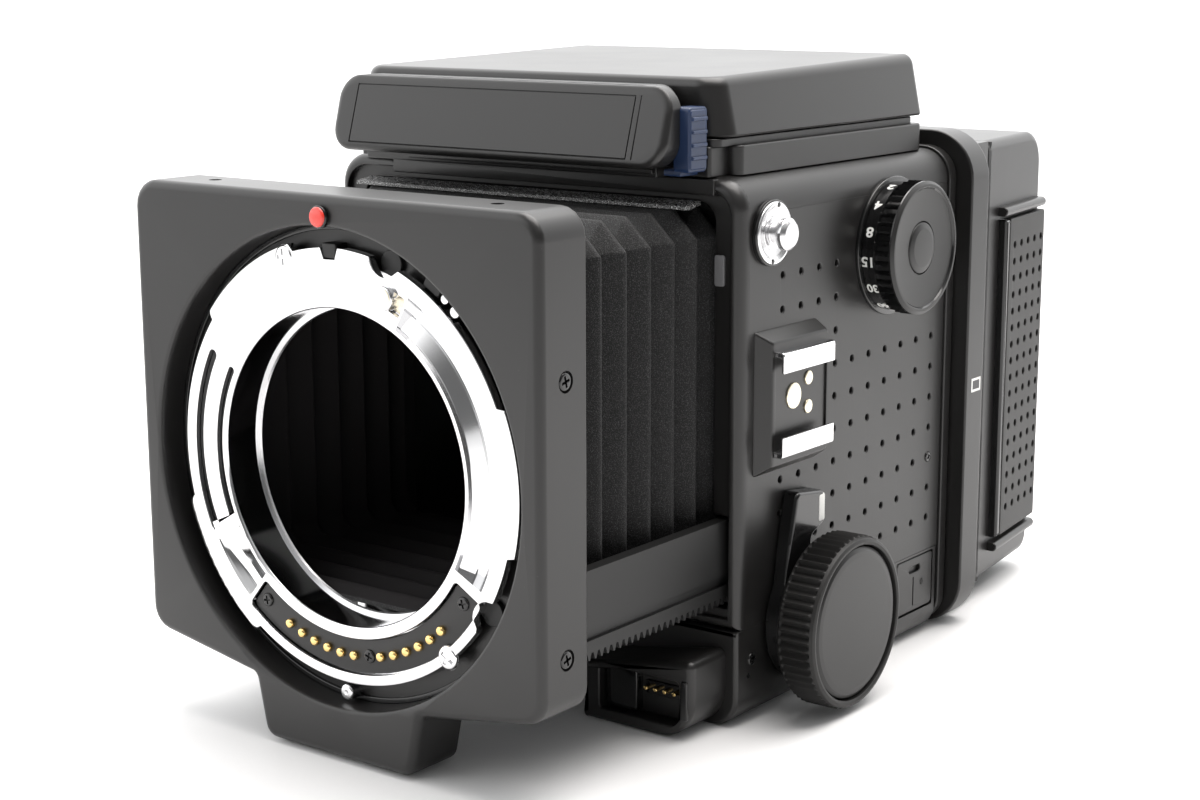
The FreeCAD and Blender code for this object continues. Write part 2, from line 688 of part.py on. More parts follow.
def round_array(body, feature, way, at, count):
    """Repeats a feature round an axis along X or Y."""
    plane, axis = ("XY", "H_Axis") if way == "X" else ("XY", "V_Axis")
    shift = (0, at[0], at[1]) if way == "X" else (at[0], 0, at[1])
    guide = draw(body, plane, shift, [circle(0, 0, 1)])
    pattern = body.newObject("PartDesign::PolarPattern", body.Label + "_round")
    pattern.Originals = [feature]
    pattern.Axis = (guide, [axis])
    pattern.Angle = 360
    pattern.Occurrences = count
    body.Tip = pattern
    return pattern


def row_array(body, feature, axis, span, count):
    """Repeats a feature along its own sketch's axis, the copies spread evenly over span."""
    pattern = body.newObject("PartDesign::LinearPattern", body.Label + "_row")
    pattern.Originals = [feature]
    pattern.Direction = (feature.Profile[0], [axis])
    pattern.setExpression("Length", dim(span).text)
    pattern.Occurrences = count
    body.Tip = pattern
    return pattern


def soften(body, radius, choose, kind="Fillet"):
    """Rounds or bevels the edges that the test chooses."""
    doc.recompute()
    tip = body.Tip
    names = ["Edge%d" % (i + 1) for i, edge in enumerate(tip.Shape.Edges) if choose(edge)]
    feature = body.newObject("PartDesign::" + kind, body.Label + "_soft")
    feature.Base = (tip, names)
    feature.setExpression("Radius" if kind == "Fillet" else "Size", dim(radius).text)
    return feature


def along(edge, way):
    """Whether an edge is straight and runs along one axis."""
    box = edge.BoundBox
    spans = {"X": box.XLength, "Y": box.YLength, "Z": box.ZLength}
    return spans[way] > 0.5 and all(v < 0.01 for k, v in spans.items() if k != way)


def is_circle(edge, radius):
    """Whether an edge is a whole circle of a radius."""
    return edge.isClosed() and near(edge.Length, dim(radius) * 2 * math.pi, 0.01)


def near(value, target, reach=0.05):
    return abs(value - dim(target).value) < reach


def body_outline():
    """The body's outline above its base, with round shoulders."""
    return outline((-body_half, base_height), (body_half, base_height),
                   (body_half, body_top, body_shoulder), (-body_half, body_top, body_shoulder))


def front_frame():
    """The moulded frame round the bellows window, with slots for the rails at its sides."""
    body = piece("front_frame")
    front = -body_front
    rear = front + frame_depth
    pad(body, "XZ", front, rear, body_outline())
    step = body_half - frame_strip
    low, high = base_height + frame_strip, body_top - frame_strip
    cut(body, "XZ", front, front + frame_step, outline(
        (-step, low), (step, low), (step, high, body_shoulder), (-step, high, body_shoulder)))
    cut(body, "XZ", front, rear, window_outline())
    return body


def window_outline():
    """The bellows window: as wide as the bellows, and wider at its foot for the two rails."""
    inner = bellows_half + small_gap
    outer = rail_outer + rail_play
    shelf = rail_top + rail_play + small_gap
    half = [(outer, chamber_floor), (outer, shelf), (inner, shelf),
            (inner, bellows_top + window_head, window_corner)]
    return outline(*half, *mirrored(half))


def body_shell():
    """The body casting: mirror chamber, bellows seat, rail channels, screen seat and back opening."""
    body = piece("body_shell")
    front = frame_depth - body_front
    pad(body, "XZ", front, body_back, body_outline())
    inside = body_back - back_wall
    cut(body, "XZ", front, inside, rect(
        -chamber_half, chamber_floor, chamber_half, chamber_roof, chamber_corner))
    cut(body, "XZ", front, front + bellows_seat, window_outline())
    room = rail_play + small_gap
    channel_end = travel - rail_rear + rail_over_run
    channel_in = rail_outer - rail_width - room
    channel_out = rail_outer + rail_play
    for low, high in ((channel_in, channel_out), (-channel_out, -channel_in)):
        cut(body, "XZ", front, channel_end, rect(low, chamber_floor, high, rail_top + room))
    tip = (pinion_pitch() + gear_module) + room
    for low, high in ((channel_in - small_gap, channel_out), (-channel_out, small_gap - channel_in)):
        cut(body, "XY", base_height, chamber_floor, rect(low, -shaft_y - tip, high, tip - shaft_y))
    cut(body, "XZ", inside, body_back, circle(0, axis_height, gate_radius))
    cut(body, "XY", screen_ledge, body_top, rect(
        -screen_half - screen_play, -screen_front - screen_play,
        screen_half + screen_play, screen_back + screen_play))
    ledge = screen_ledge_width
    cut(body, "XY", chamber_roof, screen_ledge, rect(
        ledge - screen_half, ledge - screen_front, screen_half - ledge, screen_back - ledge))
    rod = chamber_half + mirror_bearing
    cut(body, "YZ", -rod, rod, circle(mirror_y, mirror_z, mirror_rod + slide_fit))
    skin = body_half - cover_skin
    for low, high in ((skin, body_half), (-body_half, -skin)):
        cut(body, "YZ", low, high, cover_outline())
    cut(body, "YZ", -body_half, body_half, circle(-shaft_y, shaft_z, shaft_radius + small_gap))
    wall = body_half - base_wall
    for low, high in ((wall, body_half), (-body_half, -wall)):
        cut(body, "YZ", low, high, circle(-shaft_y, shaft_z, boss_radius))
    return body


def cover_outline():
    """The side covers' outline, on the flat of the body's side."""
    front = frame_depth - body_front
    top = body_top - body_shoulder - cover_edge
    return outline((front, base_height), (body_back, base_height), (body_back, top), (front, top))


def side_cover(name, side):
    """A side cover with the round post that the dial or the lever on that side turns on."""
    body = piece(name)
    skin = body_half - cover_skin
    low, high = (skin, body_half) if side > 0 else (-body_half, -skin)
    pad(body, "YZ", low, high, cover_outline())
    cut(body, "YZ", low, high, circle(-shaft_y, shaft_z, boss_radius))
    if side < 0:
        post_end = cock_outer - cock_roof - collar_gap
        pad(body, "YZ", -post_end, -body_half, circle(cock_y, cock_z, cock_boss))
    else:
        pad(body, "YZ", body_half, dial_face - dial_cap_deep - collar_gap, circle(dial_y, dial_z, dial_post))
    return body


def back_flange():
    """The plate behind the body, whose round opening carries the revolving adapter."""
    body = piece("back_flange")
    pad(body, "XZ", body_back, body_back + flange_thick,
        rect(-flange_half, flange_low, flange_half, flange_top, flange_corner))
    cut(body, "XZ", body_back, body_back + flange_thick, circle(0, axis_height, ring_radius + slide_fit))
    return body


def base():
    """The base moulding: a tray that carries the tripod bush and the bosses of the focusing shaft."""
    body = piece("base")
    pad(body, "XZ", -body_front, body_back, outline(
        (-body_half, 0, base_edge), (body_half, 0, base_edge),
        (body_half, base_height), (-body_half, base_height)))
    inner = body_half - base_wall
    cut(body, "XY", base_floor, base_height, rect(
        -inner, base_wall - body_front, inner, body_back - base_wall))
    pad(body, "XY", 0, bush_height + bush_roof, circle(0, 0, bush_radius + bush_wall))
    cut(body, "XY", 0, bush_height, circle(0, 0, bush_radius))
    hinge_x = body_half - door_thick / 2
    door_low = cell_y - door_half - door_gap
    door_high = cell_y + door_half + door_gap
    door_foot = door_axis - door_thick / 2 - door_gap
    cut(body, "YZ", inner, body_half, rect(door_low, door_foot, door_high, door_top + door_gap))
    pin_end = door_half + door_pin_length + door_gap
    cut(body, "XZ", cell_y - pin_end, cell_y + pin_end, circle(hinge_x, door_axis, door_pin + slide_fit))
    for low, high in ((inner, boss_outer), (-boss_outer, -inner)):
        pad(body, "YZ", low, high, circle(-shaft_y, shaft_z, boss_radius))
    cut(body, "YZ", -boss_outer, boss_outer, circle(-shaft_y, shaft_z, shaft_radius + slide_fit))
    return body


def lobe_corners():
    """Half of the base's front outline: a lobe that is round below and slopes on top."""
    return [(lobe_inner, 0), (lobe_half, 0, lobe_round), (lobe_half, lobe_high), (lobe_inner, lobe_low)]


def port_lobe():
    """The moulding in front of the base on the left, with the cable port sunk in it."""
    body = piece("port_lobe")
    pad(body, "XZ", -lobe_front, -body_front, outline(*lobe_corners()))
    cut(body, "XZ", -lobe_front, port_depth - lobe_front,
        rect(port_left, port_low, port_right, port_high, port_corner))
    return body


def release_lobe():
    """The moulding in front of the base on the right, with the guide of the shutter release."""
    body = piece("release_lobe")
    pad(body, "XZ", -lobe_front, -body_front, outline(*mirrored(lobe_corners())))
    cut(body, "XZ", -lobe_front, button_guide - lobe_front,
        circle(-button_x, button_z, button_radius + slide_fit))
    return body


def battery_holder():
    """The battery's holder inside the base: a block whose bore opens at the camera's side."""
    body = piece("battery_holder")
    outer = body_half - base_wall
    pad(body, "XY", base_floor, base_height, rect(
        outer - cell_depth - cell_end, cell_y - cell_radius - cell_wall, outer, body_back - base_wall))
    cut(body, "YZ", outer - cell_depth, outer, circle(cell_y, cell_z, cell_radius))
    return body


def battery_cover():
    """The battery door, round along its lower edge and hinged on two short pins."""
    body = piece("battery_cover")
    hinge_x = body_half - door_thick / 2
    low, high = cell_y - door_half, cell_y + door_half
    pad(body, "XZ", low, high, rect(body_half - door_thick, door_axis, body_half, door_top))
    pad(body, "XZ", low, high, circle(hinge_x, door_axis, door_thick / 2))
    pad(body, "XZ", low - door_pin_length, high + door_pin_length, circle(hinge_x, door_axis, door_pin))
    return body


def tripod_bush():
    """The threaded bush of the tripod socket, closed at its top."""
    body = piece("tripod_bush")
    turn(body, "Z", (0, 0), [
        (0, thread_radius), (thread_depth, thread_radius), (thread_depth, 0.0),
        (bush_height, 0.0), (bush_height, bush_radius), (0, bush_radius)])
    return body


def cable_pins():
    """The contacts in the floor of the cable port."""
    body = piece("cable_pins")
    floor = port_depth - lobe_front
    row = [circle(port_pin_start + port_pitch * i, port_pin_z, port_pin) for i in range(port_pins)]
    pad(body, "XZ", floor - port_pin_high, floor, *row)
    return body


def bellows_ring(y, skin):
    """The bellows' corners at one depth: an eight sided ring, drawn in between two ridges."""
    fold = abs(2 * (((y + bellows_ridge.value) / bellows_pitch.value) % 1.0) - 1)
    inset = bellows_fold.value * (1 - fold)
    chamfer = bellows_chamfer.value * (0.25 + 0.75 * fold)
    half = bellows_half.value - inset - skin
    top = bellows_top.value - inset - skin
    low = bellows_low.value + inset + skin
    side = [(half - chamfer, low), (half, low + chamfer), (half, top - chamfer), (half - chamfer, top)]
    return [FreeCAD.Vector(x, y, z) for x, z in side + [(-x, z) for x, z in reversed(side)]]


def bellows():
    """The pleated bellows between the front standard and the body, an open tube of thin cloth."""
    first = (mouth_depth + mount_web - face_y + small_gap).value
    last = (frame_depth + bellows_seat - body_front - small_gap).value
    half_pitch = bellows_pitch.value / 2
    start = -bellows_ridge.value
    creases = [start + half_pitch * i for i in range(int((last - start) / half_pitch) + 1)]
    depths = [first] + [y for y in creases if first < y < last] + [last]
    outer = [bellows_ring(y, 0.0) for y in depths]
    inner = [bellows_ring(y, bellows_skin.value) for y in depths]
    pairs = list(zip(outer, outer[1:])) + list(zip(inner, inner[1:]))
    pairs += [(inner[0], outer[0]), (inner[-1], outer[-1])]
    faces = []
    for near_ring, far_ring in pairs:
        for i in range(len(near_ring)):
            corners = [near_ring[i - 1], near_ring[i], far_ring[i], far_ring[i - 1], near_ring[i - 1]]
            faces.append(Part.Face(Part.makePolygon(corners)))
    shell = Part.makeShell(faces)
    shell.sewShape()
    solid = Part.makeSolid(shell)
    if solid.Volume < 0:
        solid.reverse()
    feature = doc.addObject("Part::Feature", "bellows")
    feature.Shape = solid
    feature.Placement = FreeCAD.Placement()
    feature.Label = "bellows"
    nodes.append(feature)
    return feature


def pinion_pitch():
    return gear_module * pinion_teeth / 2


def rail(name, side):
    """A focusing rail: a flat plate, a groove, and a rack cut into the underside of its lower bar."""
    body = piece(name)
    inner = rail_outer - rail_width
    pitch_line = shaft_z + pinion_pitch()
    tip = pitch_line - gear_module
    root = pitch_line + gear_module * tooth_root
    pitch = gear_module * math.pi
    sunk = rail_outer - groove_depth
    profile = [(inner, tip), (rail_outer, tip), (rail_outer, groove_low), (sunk, groove_low),
               (sunk, groove_top), (rail_outer, groove_top), (rail_outer, rail_top), (inner, rail_top)]
    if side < 0:
        profile = mirrored(profile)
    start = front_depth - face_y
    pad(body, "XZ", start, -rail_rear, outline(*profile))
    ahead = int((-start.value - shaft_y.value) / pitch.value) - 1
    behind = int((shaft_y.value - rail_rear.value) / pitch.value) + 1
    lean = math.tan(tooth_angle)
    first = -shaft_y - pitch * (ahead + 0.5)
    wide = pitch / 4 + gear_module * lean + gear_backlash
    narrow = pitch / 4 - gear_module * tooth_root * lean + gear_backlash
    low, high = (inner, rail_outer) if side > 0 else (-rail_outer, -inner)
    gap = cut(body, "YZ", low, high, outline(
        (first - wide, tip), (first + wide, tip), (first + narrow, root), (first - narrow, root)))
    count = ahead + behind
    row_array(body, gap, "H_Axis", pitch * (count - 1), count)
    return body


def focus_shaft():
    """The shaft under the mirror chamber with a pinion at each end."""
    body = piece("focus_shaft")
    end = knob_inner + knob_web
    pad(body, "YZ", -end, end, circle(-shaft_y, shaft_z, shaft_radius))
    inner = rail_outer - rail_width - gear_side
    outer = rail_outer + gear_side
    tip_radius = pinion_pitch() + gear_module
    for low, high in ((inner, outer), (-outer, -inner)):
        pad(body, "YZ", low, high, circle(-shaft_y, shaft_z, tip_radius))
    half = math.pi / 2 / pinion_teeth
    involute = math.tan(tooth_angle) - tooth_angle
    base_circle = pinion_pitch().value * math.cos(tooth_angle)
    ease = gear_backlash.value / pinion_pitch().value
    flank = []
    for radius in (pinion_pitch() - gear_module * tooth_root, pinion_pitch(), tip_radius):
        steep = math.acos(min(1.0, base_circle / radius.value))
        tooth = half + involute - (math.tan(steep) - steep)
        angle = 2 * half - tooth + ease
        flank.append((radius * math.sin(angle), radius * math.cos(angle)))
    flank.append((flank[-1][0], flank[-1][1] + gear_module))
    right = [(-shaft_y + u, shaft_z + v) for u, v in flank]
    left = [(-shaft_y - u, shaft_z + v) for u, v in reversed(flank)]
    gap = cut(body, "YZ", -outer, outer, outline(*right, *left))
    round_array(body, gap, "X", (-shaft_y, shaft_z), pinion_teeth)
    return body


def knob(name, side):
    """The ribbed rim of a focusing knob, closed by a web that sits on the shaft."""
    body = piece(name)
    web = knob_inner + knob_web
    rim = knob_radius - knob_wall
    profile = [(knob_inner, shaft_radius), (web, shaft_radius), (web, rim), (knob_outer, rim),
               (knob_outer, knob_radius - knob_bevel), (knob_outer - knob_bevel, knob_radius),
               (knob_inner, knob_radius)]
    if side < 0:
        profile = [(-p[0], p[1]) for p in profile]
    turn(body, "X", (-shaft_y, shaft_z), profile)
    low, high = (knob_inner, knob_outer) if side > 0 else (-knob_outer, -knob_inner)
    top = shaft_z + knob_radius
    groove = cut(body, "YZ", low, high, outline(
        (-shaft_y - rib_half, top + slide_fit), (-shaft_y, top - rib_depth),
        (rib_half - shaft_y, top + slide_fit)))
    round_array(body, groove, "X", (-shaft_y, shaft_z), knob_ribs)
    return body


def knob_face(name, side):
    """The flat disc that fills a knob, with a bevelled edge just inside the rim."""
    body = piece(name)
    start = knob_inner + knob_web
    edge = knob_radius - knob_wall - small_gap
    face = knob_outer - disc_sink
    profile = [(start, 0.0), (face, 0.0), (face, edge - disc_bevel), (face - disc_bevel, edge), (start, edge)]
    if side < 0:
        profile = [(-p[0], p[1]) for p in profile]
    turn(body, "X", (-shaft_y, shaft_z), profile)
    return body


def lock_lever():
    """The focus lock: a ring behind the knob with a hooked tongue."""
    body = piece("lock_lever")
    pad(body, "YZ", hub_inner, hub_outer, circle(-shaft_y, shaft_z, hub_radius))
    left = -shaft_y - tongue_half
    shoulder = shaft_z + hub_radius + 3.0
    tip = shaft_z + tongue_high
    pad(body, "YZ", hub_inner, hub_outer - tongue_drop, outline(
        (left - 5.7, shaft_z + boss_radius), (left - 4.0, shoulder), (left - 1.7, tip, tongue_corner),
        (left + 8.9, tip - 1.4, tongue_corner), (left + 9.1, shoulder + 2.0, 1.0), (left + 3.7, shoulder),
        (left + 7.3, shaft_z + boss_radius + 2.0)))
    cut(body, "YZ", hub_inner, hub_outer, circle(-shaft_y, shaft_z, boss_radius + slide_fit))
    return body


def front_standard():
    """The front standard: a square moulding with sloping lower edges, a chin and a round mouth."""
    body = piece("front_standard")
    front = -face_y
    half = [(front_half, front_side_low, front_side_corner), (front_half, front_top, front_corner)]
    low = [(-chin_half, front_mid_low), (chin_half, front_mid_low)]
    pad(body, "XZ", front, front + front_depth, outline(*low, *half, *mirrored(half)))
    chin = [(chin_low_half, chin_low, chin_corner), (chin_half, front_mid_low),
            (chin_half, front_mid_low + chin_corner)]
    pad(body, "XZ", front, front + chin_depth, outline(*chin, *mirrored(chin)))
    soften(body, front_edge, lambda e: near(e.BoundBox.YMin, front) and near(e.BoundBox.YMax, front))
    floor = front + mouth_depth
    rear = front + front_depth
    cut(body, "XZ", front, floor, circle(0, axis_height, mouth_radius))
    cut(body, "XZ", floor, rear, circle(0, axis_height, tube_radius + slide_fit))
    inner = front_half - front_rim
    cut(body, "XZ", floor + mount_web, rear, rect(
        -inner, front_side_low + front_rim - front_rest,
        inner, front_top - front_rim + front_edge, rim_corner))
    soften(body, mouth_bevel, lambda e: near(e.BoundBox.YMax, front) and is_circle(e, mouth_radius),
           "Chamfer")
    return body


LUGS = ((-14.0, 22.0), (106.0, 142.0), (196.0, 236.0))
CONTACT_MIDDLE = -81.4
CONTACT_SPREAD = 48.0
CONTACT_ROOM = 0.6
CONTACT_STEP = 5.5
CONTACTS_EACH_SIDE = 6


def mount_ring():
    """The bayonet: a bright flange with three lugs, a seat for the contacts and a short tube."""
    body = piece("mount_ring")
    face = mount_set_back - face_y
    seat = mouth_depth - face_y
    turn(body, "Y", (0, axis_height), [
        (face, throat_radius), (face, flange_radius), (seat, flange_radius), (seat, tube_radius),
        (tube_rear - face_y, tube_radius), (tube_rear - face_y, throat_radius)])
    for start, end in LUGS:
        pad(body, "XZ", face, face + lug_thick,
            sector(0, axis_height, flange_radius - lug_root, lug_radius, start, end))
    cut(body, "XZ", face, face + contact_seat, sector(
        0, axis_height, contact_circle - contact_half, contact_circle + contact_half,
        CONTACT_MIDDLE - CONTACT_SPREAD - CONTACT_ROOM, CONTACT_MIDDLE + CONTACT_SPREAD + CONTACT_ROOM))
    return body


def contact_block():
    """The curved contact carrier, set into the lower part of the mount."""
    body = piece("contact_block")
    pad(body, "XZ", contact_face - face_y, mount_set_back + contact_seat - face_y, sector(
        0, axis_height, contact_circle - contact_half + contact_play,
        contact_circle + contact_half - contact_play,
        CONTACT_MIDDLE - CONTACT_SPREAD, CONTACT_MIDDLE + CONTACT_SPREAD))
    return body


def contact_pins():
    """The spring pins on the contact carrier, as many on each side of its middle screw."""
    body = piece("contact_pins")
    face = contact_face - face_y
    steps = [side * (i + 1) for side in (-1, 1) for i in range(CONTACTS_EACH_SIDE)]
    row = []
    for step in steps:
        way = math.radians(CONTACT_MIDDLE + CONTACT_STEP * step)
        row.append(circle(contact_circle * math.cos(way), axis_height + contact_circle * math.sin(way),
                          contact_pin))
    pad(body, "XZ", face - contact_proud, face, *row)
    return body


def index_dot():
    """The round index mark above the mouth."""
    body = piece("index_dot")
    front = -face_y
    turn(body, "Y", (0, axis_height + index_rise), [
        (front, 0.0), (front, index_radius), (front - index_foot, index_radius),
        (front - index_high * 0.85, index_radius * 0.6), (front - index_high, 0.0)])
    return body


def lens_lock_pin():
    """The pin that drops into the lens, in the gap below the flange."""
    body = piece("lens_lock_pin")
    floor = mouth_depth - face_y
    pad(body, "XZ", floor - lock_pin_high, floor, circle(0, axis_height - lock_pin_drop, lock_pin_radius))
    return body


def strap_lug(name, side):
    """A strap lug: a dished washer and a mushroom stud turned as one."""
    body = piece(name)
    face = body_half
    floor = face + lug_floor
    neck_end = floor + lug_neck_high
    top = face + lug_high
    profile = [(face, 0.0), (face, lug_dish), (face + lug_rim, lug_dish - lug_bevel),
               (floor, lug_dish - lug_neck), (floor, lug_neck), (neck_end, lug_neck), (neck_end, lug_head),
               (top - lug_bevel, lug_head), (top, lug_head - lug_bevel), (top, 0.0)]
    if side < 0:
        profile = [(-p[0], p[1]) for p in profile]
    turn(body, "X", (-lug_y, lug_z), profile)
    return body


def dial_base():
    """The flat ring that the shutter dial turns on."""
    body = piece("dial_base")
    pad(body, "YZ", body_half, body_half + dial_foot, circle(dial_y, dial_z, dial_ring))
    cut(body, "YZ", body_half, body_half + dial_foot, circle(dial_y, dial_z, dial_post))
    return body


def shutter_dial():
    """The shutter dial: a numbered skirt under a notched and dished head."""
    body = piece("shutter_dial")
    low = body_half + dial_foot + collar_gap
    bore = dial_post + slide_fit
    stop = dial_face - dial_cap_deep
    well = dial_face - dial_well
    turn(body, "X", (dial_y, dial_z), [
        (low, bore), (stop, bore), (stop, dial_button), (well, dial_button),
        (well, dial_button + dial_dish_deep), (dial_face - dial_dish_deep, dial_dish),
        (dial_face, dial_dish + slide_fit), (dial_face, dial_knurl), (dial_waist, dial_knurl),
        (dial_waist, dial_skirt), (low, dial_skirt)])
    top = dial_z + dial_knurl
    notch = cut(body, "YZ", dial_waist, dial_face, outline(
        (dial_y - notch_half, top + slide_fit), (dial_y, top - notch_depth),
        (dial_y + notch_half, top + slide_fit)))
    round_array(body, notch, "X", (dial_y, dial_z), dial_notches)
    return body


def dial_cap():
    """The round button at the middle of the shutter dial, sunk a little and slightly domed."""
    body = piece("dial_cap")
    stop = dial_face - dial_cap_deep
    crown = dial_face - disc_sink
    turn(body, "X", (dial_y, dial_z), [
        (stop, 0.0), (stop, dial_button), (crown - disc_sink, dial_button),
        (crown, dial_button - disc_sink), (crown, 0.0)])
    return body


def shoe_plinth():
    """The accessory shoe's plinth, flared towards the body, with the channel's floor sunk in it."""
    body = piece("shoe_plinth")
    foot = draw(body, "YZ", (0, 0, body_half), [rect(
        -shoe_front - shoe_flare, shoe_low - shoe_flare, -shoe_rear, shoe_high + shoe_flare)])
    head = draw(body, "YZ", (0, 0, shoe_face), [rect(-shoe_front, shoe_low, -shoe_rear, shoe_high)])
    loft = body.newObject("PartDesign::AdditiveLoft", "shoe_plinth_loft")
    loft.Profile = foot
    loft.Sections = [head]
    loft.Ruled = True
    middle = (shoe_low + shoe_high) / 2
    cut(body, "YZ", shoe_face - shoe_sink, shoe_face,
        rect(shoe_stop - shoe_front, middle - shoe_channel, -shoe_rear, middle + shoe_channel))
    return body


def shoe_rail(name, side):
    """One folded rail of the accessory shoe: a foot on the plinth and a lip over the channel."""
    body = piece(name)
    middle = (shoe_low + shoe_high) / 2
    lip = shoe_rail_top - shoe_lip_thick
    corners = [(shoe_face, middle + side * shoe_channel), (lip, middle + side * shoe_channel),
               (lip, middle + side * shoe_lip), (shoe_rail_top, middle + side * shoe_lip),
               (shoe_rail_top, middle + side * shoe_rail_half), (shoe_face, middle + side * shoe_rail_half)]
    pad(body, "XZ", shoe_rail_end - shoe_front, -shoe_rear - shoe_rail_end, outline(*corners))
    return body


def shoe_contacts():
    """The shoe's centre contact and two small ones behind it."""
    body = piece("shoe_contacts")
    floor = shoe_face - shoe_sink
    middle = (shoe_low + shoe_high) / 2 + shoe_contact_lift
    centre = shoe_contact_back - shoe_front
    behind = centre + shoe_contact_step
    pad(body, "YZ", floor, floor + shoe_contact_high, circle(centre, middle, shoe_contact),
        circle(behind, middle + shoe_contact_pitch / 2, shoe_contact_small),
        circle(behind, middle - shoe_contact_pitch / 2, shoe_contact_small))
    return body


def cocking_lever():
    """The film advance and cocking lever: a hub, a flat arm and a thumb grip bent outwards."""
    body = piece("cocking_lever")
    pad(body, "YZ", -cock_outer, -cock_inner, circle(cock_y, cock_z, cock_hub))
    tip = cock_z - cock_reach
    root = cock_z - cock_boss
    pad(body, "YZ", -cock_outer, cock_arm - cock_outer, outline(
        (cock_y - cock_arm_root, root), (cock_y - cock_arm_tip, tip, cock_grip),
        (cock_y + cock_arm_tip, tip, cock_grip), (cock_y + cock_arm_root, root)))
    near_side = cock_y - cock_arm_tip
    far_side = near_side + cock_grip_wide
    pad(body, "YZ", -cock_outer - cock_grip, -cock_outer, outline(
        (near_side, tip + cock_grip_length, 1.0), (near_side, tip + cock_roof, 1.5),
        (far_side, tip + cock_roof, 1.0), (far_side, tip + cock_grip_length, 1.0)))
    cut(body, "YZ", cock_roof - cock_outer, -cock_inner, circle(cock_y, cock_z, cock_boss + slide_fit))
    return body


def release_collar():
    """The lock collar round the shutter release, with a small finger tab."""
    body = piece("release_collar")
    seat = -lobe_front - collar_gap
    turn(body, "Y", (-button_x, button_z), [
        (seat, collar_bore), (seat - collar_low, collar_bore),
        (seat - collar_high, collar_bore + collar_tab_high),
        (seat - collar_low, collar_radius), (seat, collar_radius)])
    root = button_z + collar_radius
    pad(body, "XZ", seat - collar_low, seat, rect(
        -button_x - collar_tab, root - collar_tab, collar_tab - button_x, root + collar_tab_high))
    return body


def release_button():
    """The shutter release, a plunger that runs into the lobe."""
    body = piece("release_button")
    pad(body, "XZ", -lobe_front - button_proud, button_stem - lobe_front,
        circle(-button_x, button_z, button_radius))
    return body


def slanted(body, low, high, near_face, thick, start=0.0):
    """Adds a plate that hangs from the mirror's rod at 45 degrees, between two distances from it."""
    lean = math.sqrt(0.5)
    corners = []
    for reach, depth in ((start, near_face), (mirror_length, near_face), (mirror_length, near_face + thick),
                         (start, near_face + thick)):
        reach, depth = dim(reach), dim(depth)
        corners.append((mirror_y - reach * lean + depth * lean, mirror_z - reach * lean - depth * lean))
    return pad(body, "YZ", low, high, outline(*corners))


def mirror_carrier():
    """The mirror's carrier: a plate behind the glass and the rod that it swings on."""
    body = piece("mirror_carrier")
    slanted(body, -mirror_half, mirror_half, 0.0, mirror_frame)
    end = chamber_half + mirror_bearing - mirror_end_play
    pad(body, "YZ", -end, end, circle(mirror_y, mirror_z, mirror_rod))
    return body


def mirror_glass():
    """The mirror, narrower than its carrier at the sides and short of the rod."""
    body = piece("mirror_glass")
    side = mirror_half - mirror_margin
    slanted(body, -side, side, -mirror_thick, mirror_thick, mirror_start)
    return body


def focusing_screen():
    """The ground glass on its ledge under the finder."""
    body = piece("focusing_screen")
    pad(body, "XY", screen_ledge, screen_ledge + screen_thick,
        rect(-screen_half, -screen_front, screen_half, screen_back))
    return body


def finder_base():
    """The finder's base frame with the ears that carry the folding flaps."""
    body = piece("finder_base")
    pad(body, "XY", body_top, finder_height, rect(
        -finder_half, -finder_start, finder_half, finder_back, finder_corner))
    pad(body, "XY", body_top, finder_height, rect(-finder_front, -finder_nose, finder_front, -finder_start))
    step = finder_half - finder_step_in
    pad(body, "XY", finder_height, finder_step, rect(
        -step, finder_nose_in - finder_nose, step, finder_back - finder_back_in, finder_corner))
    well = screen_half - screen_ledge_width
    cut(body, "XY", body_top, finder_step, rect(
        -well, screen_ledge_width - screen_front, well, screen_back - screen_ledge_width - finder_nose_in))
    ear = flap_rod + ear_wall
    ear_top = flap_hinge_z + ear
    front_ear = -flap_front - ear_play - ear_thick - ear_play
    for side in (-1, 1):
        x = side * flap_hinge_x
        for y in (front_ear, flap_back + ear_play):
            pad(body, "XY", finder_step, ear_top, rect(x - ear, y, x + ear, y + ear_thick))
    for side in (-1, 1):
        x = side * (flap_hinge_x - flap_ear_inset)
        pad(body, "XY", finder_step, ear_top,
            rect(x - ear_thick / 2, flap_back_y - ear, x + ear_thick / 2, flap_back_y + ear))
    bore = flap_rod + slide_fit
    for side in (-1, 1):
        cut(body, "XZ", front_ear - ear_play, flap_back + ear_thick + ear_play * 4,
            circle(side * flap_hinge_x, flap_hinge_z, bore))
    cut(body, "YZ", -flap_hinge_x, flap_hinge_x, circle(flap_back_y, flap_hinge_z, bore))
    return body


def side_flap(name, side):
    """A side flap of the hood, folded flat over the screen, mitred at its back end."""
    body = piece(name)
    low = flap_hinge_z - flap_thick / 2
    root = flap_hinge_x - flap_rod * 0.5
    free = flap_hinge_x - flap_width
    corners = [(root, -flap_front), (root, flap_back), (free, flap_back - flap_width),
               (free, -flap_front, flap_corner)]
    if side < 0:
        corners = mirrored(corners)
    pad(body, "XY", low, low + flap_thick, outline(*corners))
    pad(body, "XZ", -flap_front - flap_rod_reach - ear_play, flap_back + flap_rod_reach,
        circle(side * flap_hinge_x, flap_hinge_z, flap_rod))
    return body


def hood_back():
    """The back flap of the hood, mitred at both ends."""
    body = piece("hood_back")
    low = flap_hinge_z - flap_thick / 2
    root = flap_back_y - flap_rod * 0.5
    free = flap_back_y - flap_back_width
    wide = flap_hinge_x - flap_side_gap
    pad(body, "XY", low, low + flap_thick, outline(
        (-wide, root), (wide, root), (wide - flap_back_width, free), (flap_back_width - wide, free)))
    rod = flap_hinge_x - flap_ear_inset + ear_wall
    pad(body, "YZ", -rod, rod, circle(flap_back_y, flap_hinge_z, flap_rod))
    return body


